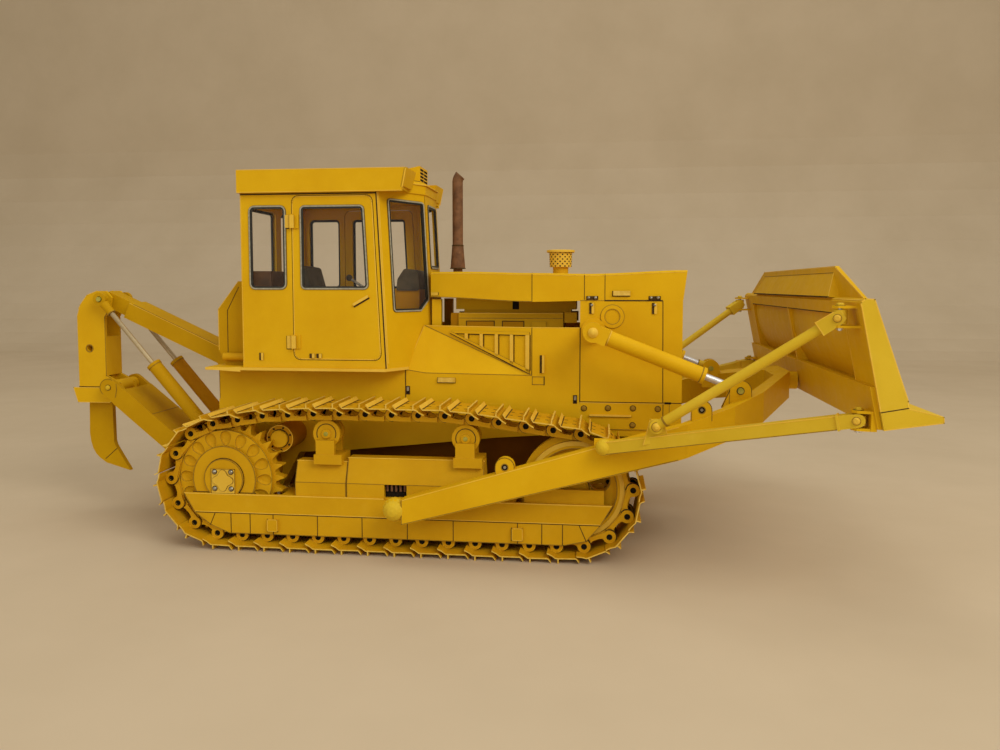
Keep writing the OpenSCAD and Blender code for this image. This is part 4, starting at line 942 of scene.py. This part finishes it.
# sprocket bearing
ut.ring(SC, 11.42, 11.74, -45.0, -44.85, "olive", 60, -25.5, 205.5)
ut.ring(SC, 7.15, 7.5, -44.97, -44.85, "line", 48, -42, 222)
ut.ring(SC, 6.95, 7.22, -45.68, -45.5, "olive", 48, -44, 224)
ln(ut, [(-144.8, 19.35), (-121.6, 19.35)], 0.3, "line", -44.95)
ut.line([(a, -46.0, b) for a, b in rect(-137.55, -128.85, 19.25, 27.95)], N, 0.24, "olive", 0.06, True)
clover = [((3.2 + 0.6 * math.cos(4 * t)) * math.cos(t) + SC[0], (3.2 + 0.6 * math.cos(4 * t)) * math.sin(t) + SC[1] - 0.4) for t in [2 * math.pi * i / 48 for i in range(48)]]
pad(ut, G, rect(-137.4, -129.0, 19.4, 27.8), -0.02, 0.05, "pale")
pad(ut, G, clover, -0.05, 0.4, "pale", rim="olive")
band(ut, G, inset(clover, -0.2), clover, -0.05, 0.1, "olive")
for dx in (-3.05, 3.05):
    for dz in (2.65, -3.35):
        c = (SC[0] + dx, SC[1] + dz)
        ut.turn((c[0], -46.0, c[1]), N, [(-0.2, 0.8), (0.35, 0.8), (0.65, 0.5), (0.75, 0.2)], "steel", 14)
        # dark ring round each bolt: painted shadow
        ut.ring(c, 0.8, 1.0, -46.1, -45.95, "line", 16)
# idler
ut.ring(IC, 15.1, 16.62, -43.36, -43.1, "pale", 72)
ut.ring(IC, 13.95, 14.25, -43.3, -43.1, "olive", 64)
ut.ring(IC, 4.6, 4.85, -41.32, -41.1, "line", 36)
ut.cyl(IC, 4.0, -41.7, -41.1, "under", 32, 0.25)
for i in range(5):
    c = onc(IC, 8.6, 18 + i * 72)
    ut.ring(c, 3.4, 3.72, -41.36, -41.1, "olive", 28)
# carrier rollers and pinion cover
for c in ((-95.9, 41), (-46.4, 40.3)):
    ut.cyl(c, 4.9, -43.35, -42.0, "under", 44, 0.15)
    ut.ring(c, 3.3, 3.6, -43.42, -43.3, "line", 36, -25, 205)
    ut.cyl(c, 1.8, -44.0, -43.2, "under", 20, 0.3)
    ut.cyl(c, 0.8, -44.3, -43.9, "green", 14, 0.2)
PC = (-115.4, 37.7)
ut.cyl(PC, 3.15, -38.5, -37.0, "under", 32, 0.25)
ut.ring(PC, 3.15, 3.45, -37.3, -37.1, "line", 32)
ut.ring(PC, 4.7, 4.93, -37.3, -37.1, "edge", 36)
for i in range(7):
    c = onc(PC, 4.1, 20 + i * 360 / 7)
    ut.cyl(c, 0.36, -37.4, -37.1, "dark", 12)
make("undercarriage_trim", ut, "tractor", None, both=True)

# sprocket: hooked teeth and a dished ring of ovals
sp = Mesh()
teeth = []
for i in range(28):
    for k, r in ((-0.46, 17.75), (-0.3, 17.9), (-0.12, 19.4), (-0.02, 20.75), (0.1, 20.75), (0.16, 19.8), (0.3, 18.0), (0.44, 17.75)):
        teeth.append(onc(SC, r, (i + k) * 360 / 28))
sp.xz(teeth, -41.8, -37.9, "under")
RM = 14.25
for i in range(16):
    base = math.radians(-1 + 22.5 * i)

    def Q3(u, s, y, base=base):
        t = base + s / RM
        return (SC[0] + (RM + u) * math.cos(t), y, SC[1] + (RM + u) * math.sin(t))

    u0, u1, s1 = -3.75, 2.95, math.pi / 16 * RM
    th = sorted([2 * math.pi * k / 28 + 0.03 for k in range(28)] + [math.atan2(a, b) % (2 * math.pi) for a in (-s1, s1) for b in (u0, u1)])
    oval, edge = [], []
    for t in th:
        cu, cs = math.cos(t), math.sin(t)
        oval.append((2.72 * cu, 1.92 * cs * (1 + 0.1 * cu)))
        f = min([(u1 if cu > 0 else u0) / cu if abs(cu) > 1e-9 else 1e9, s1 / abs(cs) if abs(cs) > 1e-9 else 1e9])
        edge.append((cu * f, cs * f))
    k2 = len(th)
    rings = [[Q3(u, s, -43.6) for u, s in edge], [Q3(u, s, -43.6) for u, s in oval], [Q3(u * 0.9, s * 0.88, -42.95) for u, s in oval], [Q3(u * 0.55, s * 0.55, -42.6) for u, s in oval]]
    sp.loft(rings[:2], "under", caps=False)
    sp.loft(rings[1:3], "under", caps=False)
    sp.loft(rings[2:4], "under", caps=False, smooth=True)
    sp.add(rings[3], [tuple(range(k2))], "under")
    sp.loft([[Q3(u, s, -43.63) for u, s in oval], [Q3(u * 0.94, s * 0.94, -43.5) for u, s in oval]], "olive", caps=False)
sp.cyl(SC, 10.7, -43.6, -42.0, "under", 56)
sp.turn((SC[0], -43.6, SC[1]), (0, 1, 0), [(0, 17.2), (1.8, 17.2)], "under", 84, cap0=False)
sp.ring(SC, 17.04, 17.22, -43.64, -43.5, "olive", 84)
make("sprocket_rings", sp, "tractor", None, hides=("sprockets",), both=True)

# ------------------------------------------------------------------ C-frame, struts, braces, blade
dz = Mesh()
ln(dz, [(-65.8, 21.6), (-1.5, 40.8), (24.0, 48.0)], 0.26, "edge", -57.0)
ln(dz, [(-65.8, 13.6), (24.0, 37.55)], 0.26, "olive", -57.0)
ln(dz, [(-65.85, 13.6), (-65.85, 21.6)], 0.26, "olive", -57.0)
ball(dz, (-68.7, -54.5, 18), N, 4.12, "strut", 16)
for c, y, x0, x1, zb in (((31.6, 53.2), -53.6, 28.4, 34.8, 49.8), ((-31.4, 33.5), -56.0, -34.4, -28.4, 31.0)):
    dz.cyl(c, 1.24, y + 0.3, y + 1.2, "dark", 20)
    dz.ring(c, 1.0, 1.3, y - 0.05, y + 0.4, "olive", 24)
    dz.cyl(c, 0.5, y + 0.05, y + 0.5, "steel", 12)
    ln(dz, [(x0, zb)] + arc(c, 3.15, 180, 0) + [(x1, zb)], 0.24, "olive", y)
# lift ears and pins
EY = -41.2
ln(dz, [(41.9, 53.0)] + arc((45.5, 58.0), 3.55, 180, 0) + [(49.1, 55.0)], 0.26, "olive", EY)
dz.rod((45.5, -41.9, 58.0), (45.5, -34.2, 58.0), 1.0, "green", 20)
dz.ring((45.5, 58.0), 1.0, 1.3, EY - 0.08, EY + 0.05, "line", 22)
pad(dz, on_y(EY), [(40.2, 53.0), (49.4, 55.6), (49.2, 54.2), (40.4, 51.6)], -0.05, 0.6, "edge", rim="yellow")
dz.xz([(39.4, 52.3), (42.05, 58.3), (42.05, 52.6)], -41.2, -39.7, "yellow")
ln(dz, [(39.5, 52.5), (42.0, 58.1)], 0.26, "line", EY)
# strut
SO, SP_ = (0.6, -59.3, 41.4), (69.8, -86.1, 56.05)
SL = math.dist(SO, SP_)
sd, sw, su = axes(SO, SP_)
T1, T2 = along(SO, SP_, 2.0), along(SO, SP_, 0.0)
dz.line([T1(0.5, 1.85, 0), T1(SL * 0.925, 1.85, 0)], sw, 0.26, "edge")
dz.line([T1(0.5, -1.85, 0), T1(SL * 0.925, -1.85, 0)], sw, 0.26, "olive")
ball(dz, T2(0.4, 0.2, 0.6), sw, 2.75, "strut", 14)
nose_end = [(SL - 5.2, -1.95), (SL + 0.1, -1.85)] + [(SL + 0.1 + 1.85 * math.sin(t), -1.85 * math.cos(t)) for t in [math.pi * k / 8 for k in range(1, 8)]] + [(SL + 0.1, 1.85), (SL - 5.2, 1.95)]
pad(dz, T2, nose_end, -2.3, 2.3, "strut", rim="strut")
pad(dz, T2, rect(SL - 5.5, SL - 4.95, -2.25, 2.25), -2.45, 2.45, "strut", rim="edge")
dz.turn(T2(SL - 0.3, 0, 2.25), sw, [(0, 1.0), (0.5, 1.0), (0.9, 0.6)], "pale", 18)
hoop(dz, T2(SL - 0.3, 0, 2.25), sw, 0.0, 0.1, 1.0, 1.2, "olive", 20)
for x, y, z0, z1 in ((69.8, -86.1, 53.3, 58.8), (64.6, -84.5, 81.2, 87.3)):
    dz.rod((x, y, z0 - 0.8), (x, y, z1 + 0.6), 0.62, "chrome", 14)
    dz.turn((x, y, z1), (0, 0, 1), [(-0.02, 1.05), (0.55, 1.05), (0.8, 0.7)], "strut", 6, smooth=False)
    dz.turn((x, y, z0), (0, 0, -1), [(-0.02, 1.0), (0.5, 1.0)], "chrome", 14)
    hoop(dz, (x, y, z1), (0, 0, 1), 0.0, 0.08, 1.05, 1.4, "line", 16)
# brace
BP, BQ = (16.4, -68, 50), (64.6, -84.5, 84.2)
BL = math.dist(BP, BQ)
bd, bw, bu = axes(BP, BQ)
T3 = along(BP, BQ, 0.0)
brace_end = [(BL - 6.0, -2.15), (BL - 0.6, -2.0), (BL + 1.3, -1.3), (BL + 1.3, 1.3), (BL - 0.6, 2.0), (BL - 6.0, 2.15)]
pad(dz, T3, brace_end, -1.95, 1.95, "strut", rim="strut")
dz.line([T3(BL - 6.0, -2.1, 1.95), T3(BL - 6.0, 2.1, 1.95)], bw, 0.3, "edge")
dz.line([T3(BL - 5.8, 2.05, 1.95), T3(BL - 0.7, 1.95, 1.95)], bw, 0.25, "edge")
dz.turn(T3(BL - 0.6, 0, 1.95), bw, [(0, 1.0), (0.5, 1.0), (0.9, 0.6)], "pale", 16)
hoop(dz, T3(BL - 0.6, 0, 1.95), bw, 0.0, 0.1, 1.0, 1.2, "olive", 18)
hoop(dz, T3(0, 0, 0), bd, 3.0, 3.6, 1.4, 1.72, "olive", 18)
dz.turn((16.4, -69.3, 50.0), N, [(-0.4, 1.3), (0.2, 1.3), (1.1, 0.45)], "pale", 18)
dz.ring((16.4, 50.0), 1.3, 1.5, -69.0, -68.85, "olive", 20)
ln(dz, [(12.7, 44.1), (14.7, 51.9), (18.3, 51.9), (20.5, 45.7)], 0.24, "edge", -66.9)
# blade: end plates, rails and edges
EP = on_y(-91.0)
pad(dz, EP, [(74.2, 58.95), (80.9, 60.2), (80.8, 62.0), (71.5, 88.95), (69.3, 89.1), (68.3, 88.1)], -0.03, 0.03, "strut")
pad(dz, EP, [(75.3, 54.25), (89.9, 56.5), (89.8, 57.75), (81.1, 59.8), (74.4, 58.6)], -0.03, 0.03, "strut")
br = lambda z: 68 + (88.3 - z) * 0.2023
BN = (-0.98, 0, -0.198)
ln(dz, [(br(59.1) + 0.1, 59.1), (68.15, 88.2), (69.25, 89.25)], 0.26, "edge", -91.0)
ln(dz, [(69.3, 89.25), (71.6, 89.05), (80.9, 62.0), (81.0, 60.3)], 0.3, "edge", -91.0)
ln(dz, [(74.1, 58.85), (81.0, 60.15)], 0.28, "line", -91.0)
ln(dz, [(81.1, 59.95), (90.0, 57.9), (90.1, 56.35), (75.1, 54.05)], 0.24, "edge", -91.0)
for z, m in ((84.6, "line"), (64.8, "edge")):
    dz.line([(br(z), -73.0, z), (br(z), -0.8, z)], BN, 0.3, m, 0.08)
for y in (-73.1, -0.75):
    dz.line([(br(84.5), y, 84.5), (br(65.0), y, 65.0)], BN, 0.26, "edge", 0.08)
dz.line([(br(87.9), -90.7, 87.9), (br(59.2), -90.7, 59.2)], BN, 0.3, "edge", 0.08)
dz.line([(68.5, -90.8, 88.85), (68.5, -0.1, 88.85)], (-0.7, 0, 0.7), 0.36, "edge", 0.08)
dz.line([(70.4, -55.9, 98.6), (70.4, 0, 98.6)], (-1, 0, 0), 0.4, "edge", 0.06)
dz.line([(70.4, -85.3, 89.3), (70.4, -56.1, 98.5)], (-1, 0, 0), 0.4, "edge", 0.06)
dz.line([(70.45, -54.8, 96.75), (70.45, 0, 96.75)], (-0.92, 0, 0.4), 0.26, "olive", 0.1)
# dark line under the stiffener's lower edge: painted shadow
dz.line([(67.25, -62.0, 89.4), (67.25, 0, 89.4)], (-0.92, 0, -0.4), 0.42, "line", 0.08)
dz.line([(67.2, -61.8, 89.3), (70.45, -54.9, 96.7)], (-0.75, -0.6, 0.3), 0.26, "edge", 0.1)
for y in (-60.7, -30.3):
    dz.line([(81.3, y, 60.05), (89.9, y, 58.1)], (0.22, 0, 0.97), 0.26, "line", 0.06)
dz.line([(81.15, -90.8, 60.1), (81.15, 0, 60.1)], (0.7, 0, 0.7), 0.3, "line", 0.06)
dz.line([(71.7, -90.8, 89.1), (71.7, 0, 89.1)], (0.9, 0, 0.4), 0.3, "edge", 0.06)
make("dozer_trim", dz, "dozer", None, both=True)

# ------------------------------------------------------------------ cylinders
LT, LP, LY = (-3.2, 77.0), (45.5, 58.0), -38.0
LL = math.dist(LT, LP)
LA, LB_ = (LT[0], LY, LT[1]), (LP[0], LY, LP[1])
ld = axes(LA, LB_)[0]
TL = along(LA, LB_, 0.0)
lb = Mesh()
lb.ring(LT, 1.5, 3.45, -41.05, -40.5, "yellow", 36, edge="olive")
lb.turn((LT[0], -41.0, LT[1]), N, [(-0.3, 1.7), (0.5, 1.7), (1.4, 0.7), (1.5, 0.2)], "edge", 20)
pad(lb, TL, rect(1.8, 5.2, -2.9, 2.9), 2.72, 3.0, "yellow", rim="olive")
for b0, b1 in ((-2.9, -2.7), (2.7, 2.9)):
    pad(lb, TL, rect(1.8, 5.2, b0, b1), -2.6, 2.72, "yellow")
hoop(lb, LA, ld, 5.5, 5.85, 2.68, 2.86, "edge", 32)
hoop(lb, LA, ld, 38.9, 40.05, 2.68, 2.9, "yellow", 32)
hoop(lb, LA, ld, 38.55, 38.9, 2.68, 2.8, "olive", 32)
hoop(lb, LA, ld, 39.9, 40.12, 1.46, 1.8, "line", 24)
make("lift_caps_right", lb, "lift_barrel_right", None)
make("lift_caps_left", lb.mirror(), "lift_barrel_left", None)
lr = Mesh()
lr.turn(LA, ld, [(4.6, 1.15), (LL - 2.3, 1.15)], "chrome", 28)
lr.ring(LP, 1.2, 2.6, -39.4, -36.6, "strut", 36)
lr.turn(LA, ld, [(LL - 5.4, 1.5), (LL - 2.4, 1.9)], "strut", 24)
hoop(lr, LA, ld, LL - 5.6, LL - 5.3, 1.15, 1.7, "olive", 24)
for n, o in (("right", lr), ("left", lr.mirror())):
    make("lift_shaft_" + n, o, "lift_rod_" + n, None, hides=("lift_rod_" + n,))

RA, RB, RC, RD, RE = (-150, 12), (-150, 63.9), (-201.3, 87.4), (-198.3, 51.7), (-150, 27)
RL = math.dist(RE, RC)
EA, EC = (RE[0], -9.0, RE[1]), (RC[0], -9.0, RC[1])
rd = (Vector(EC) - Vector(EA)).normalized()
# rod eyes and barrel caps in the darkened yellow: painted shade
rr = Mesh()
rr.turn(EA, rd, [(13.5, 0.95), (RL - 2.4, 0.95)], "rod", 24)
rr.ring(RC, 1.2, 2.7, -9.9, -8.1, "deep", 36)
rr.turn(EA, rd, [(RL - 7.2, 1.5), (RL - 2.4, 1.8)], "deep", 24)
hoop(rr, EA, rd, RL - 7.5, RL - 7.1, 0.95, 1.75, "olive", 22)
for n, o in (("right", rr), ("left", rr.mirror())):
    make("ripper_shaft_" + n, o, "ripper_rod_" + n, None, hides=("ripper_rod_" + n,))
rc = Mesh()
hoop(rc, EA, rd, 44.1, 45.25, 2.68, 2.9, "deep", 28)
hoop(rc, EA, rd, 43.8, 44.1, 2.68, 2.8, "olive", 28)
hoop(rc, EA, rd, 45.1, 45.32, 1.26, 1.6, "line", 22)
knob(rc, RE[0], RE[1], 1.5, 0.7, -10.3, "edge", 16)
for n, o in (("right", rc), ("left", rc.mirror())):
    make("ripper_caps_" + n, o, "ripper_barrel_" + n, None)

# ------------------------------------------------------------------ ripper
# arm box and shank in the darkened yellow: painted shade
ra = Mesh()
TA = along((RA[0], 0, RA[1]), (RD[0], 0, RD[1]))
pad(ra, TA, rect(49.8, 57.0, -3.78, 3.78), -10.46, 0.0, "deep")
ra.line([TA(41.5, 3.8, -10.4), TA(41.5, 3.8, 0.0)], axes((RA[0], 0, RA[1]), (RD[0], 0, RD[1]))[2], 0.3, "olive")
ln(ra, [(-195.2, 47.9), (-194.6, 51.0), (-194.8, 53.2)], 0.26, "olive", -10.46)
ln(ra, arc(RD, 3.5, 60, 230), 0.24, "olive", -10.4)
knob(ra, RD[0], RD[1], 1.0, 0.8, -10.4, "strut", 18)
make("ripper_arm_trim", ra, "ripper_arm", None, both=True)
rl = Mesh()
ln(rl, [(-188.6, 85.2), (-154.0, 69.3)], 0.24, "olive", -6.0)
ln(rl, [(-190.5, 85.7), (-152.5, 68.3)], 0.22, "edge", -6.0)
make("ripper_link_trim", rl, "ripper_link", None, both=True)
rb = Mesh()
BEAM = [(-214, 46), (-214, 80.5), (-212.6, 85), (-209.5, 89), (-205, 90.7), (-201, 90.7), (-198.6, 88), (-199.4, 84), (-201.8, 80), (-201.8, 56), (-195.6, 53)]
ln(rb, [(x + 0.15, z) for x, z in BEAM[1:5]], 0.26, "edge", -5.5)
ln(rb, [(x - 0.15, z) for x, z in BEAM[7:11]], 0.24, "olive", -5.5)
rb.ring((-208.9, 67.2), 1.3, 1.68, -5.62, -5.45, "olive", 24)
box = [(-216.3, 51), (-214.5, 45), (-200.2, 45), (-199.8, 49.4), (-203, 51)]
rb.line([(x, -5.9, z) for x, z in box], N, 0.26, "edge", 0.06, True)
# dark line where the beam meets the box: painted shadow
ln(rb, [(-214.0, 51.35), (-203.0, 51.35)], 0.3, "line", -5.5)
ln(rb, [(-201.1, 25.0), (-206.2, 20.6)], 0.26, "line", -1.1)
make("ripper_beam_trim", rb, "ripper_beam", None, both=True)
sk = Mesh()
sk.xz([(-212.7, 63.5), (-212.7, 43.5), (-213.0, 31.1), (-212.6, 27.9), (-211.7, 24.8), (-210.5, 22.7), (-208.8, 20.9), (-205.9, 18.9), (-195.5, 15.9), (-196.2, 17.2), (-200.9, 24.8), (-201.8, 26.5), (-202.3, 28.2), (-202.5, 44.3), (-202.5, 63.5)], -1.1, 1.1, "deep")
make("shank", sk, "ripper_beam", None, hides=("ripper_shank",))
rp = Mesh()
rp.rod((RC[0], -10.5, RC[1]), (RC[0], 10.5, RC[1]), 0.95, "green", 20)
make("ripper_pin", rp, "ripper_beam", None)

# ------------------------------------------------------------------ stage, light, camera
fl = Mesh()
prof = [(-7000, 0)]
for i in range(13):
    a = math.radians(-90 + 90 * i / 12)
    prof.append((700 + 320 * math.cos(a) - 0, 320 + 320 * math.sin(a)))
prof.append((1020, 1700))
for k in range(len(prof) - 1):
    (ya, za), (yb, zb) = prof[k], prof[k + 1]
    fl.add([(-7000, ya, za), (7000, ya, za), (7000, yb, zb), (-7000, yb, zb)], [(0, 1, 2, 3)], "floor", True)
M["floor"] = two_tone("pale_floor", lin(201, 181, 149), lin(195, 175, 143), 9, 0.75, spec=0.2)
d = bpy.data.meshes.new("floor")
d.from_pydata([((x + XO) / 1000, y / 1000, z / 1000) for x, y, z in fl.v], [], fl.f)
d.materials.append(M["floor"])
for p in d.polygons:
    p.use_smooth = True
floor = bpy.data.objects.new("floor", d)
bpy.context.scene.collection.objects.link(floor)

world = bpy.data.worlds.new("studio")
bpy.context.scene.world = world
world.use_nodes = True
bg = world.node_tree.nodes["Background"]
bg.inputs[0].default_value = (1.0, 0.98, 0.94, 1)
bg.inputs[1].default_value = 0.52


def area(name, loc, target, size, power, col):
    l = bpy.data.lights.new(name, "AREA")
    l.shape = "RECTANGLE"
    l.size, l.size_y = size
    l.energy = power
    l.color = col
    o = bpy.data.objects.new(name, l)
    o.location = loc
    o.rotation_mode = "QUATERNION"
    o.rotation_quaternion = (Vector(target) - Vector(loc)).to_track_quat("-Z", "Y")
    o.visible_camera = False
    bpy.context.scene.collection.objects.link(o)


area("window", (0.55, -0.55, 0.58), (-0.02, -0.02, 0.06), (0.5, 0.4), 3.7, (1.0, 0.98, 0.94))
area("fill", (-0.42, -0.85, 0.26), (0.0, 0.0, 0.05), (1.0, 0.5), 1.35, (1.0, 0.97, 0.92))
area("top", (0.1, 0.15, 1.35), (0, 0, 0.05), (1.2, 1.0), 4.5, (1.0, 0.98, 0.95))

cam = bpy.data.cameras.new("camera")
cam.lens = 29.88
cam.sensor_width = 36.0
cam.shift_y = -0.0306
cam.clip_start, cam.clip_end = 0.01, 20
co = bpy.data.objects.new("camera", cam)
yaw, pitch = math.radians(7.06), math.radians(4.0)
co.location = ((0 + XO) / 1000, -0.322, 0.092566)
fw = Vector((-math.sin(yaw) * math.cos(pitch), math.cos(yaw) * math.cos(pitch), -math.sin(pitch)))
co.rotation_mode = "QUATERNION"
co.rotation_quaternion = fw.to_track_quat("-Z", "Y")
bpy.context.scene.collection.objects.link(co)
bpy.context.scene.camera = co
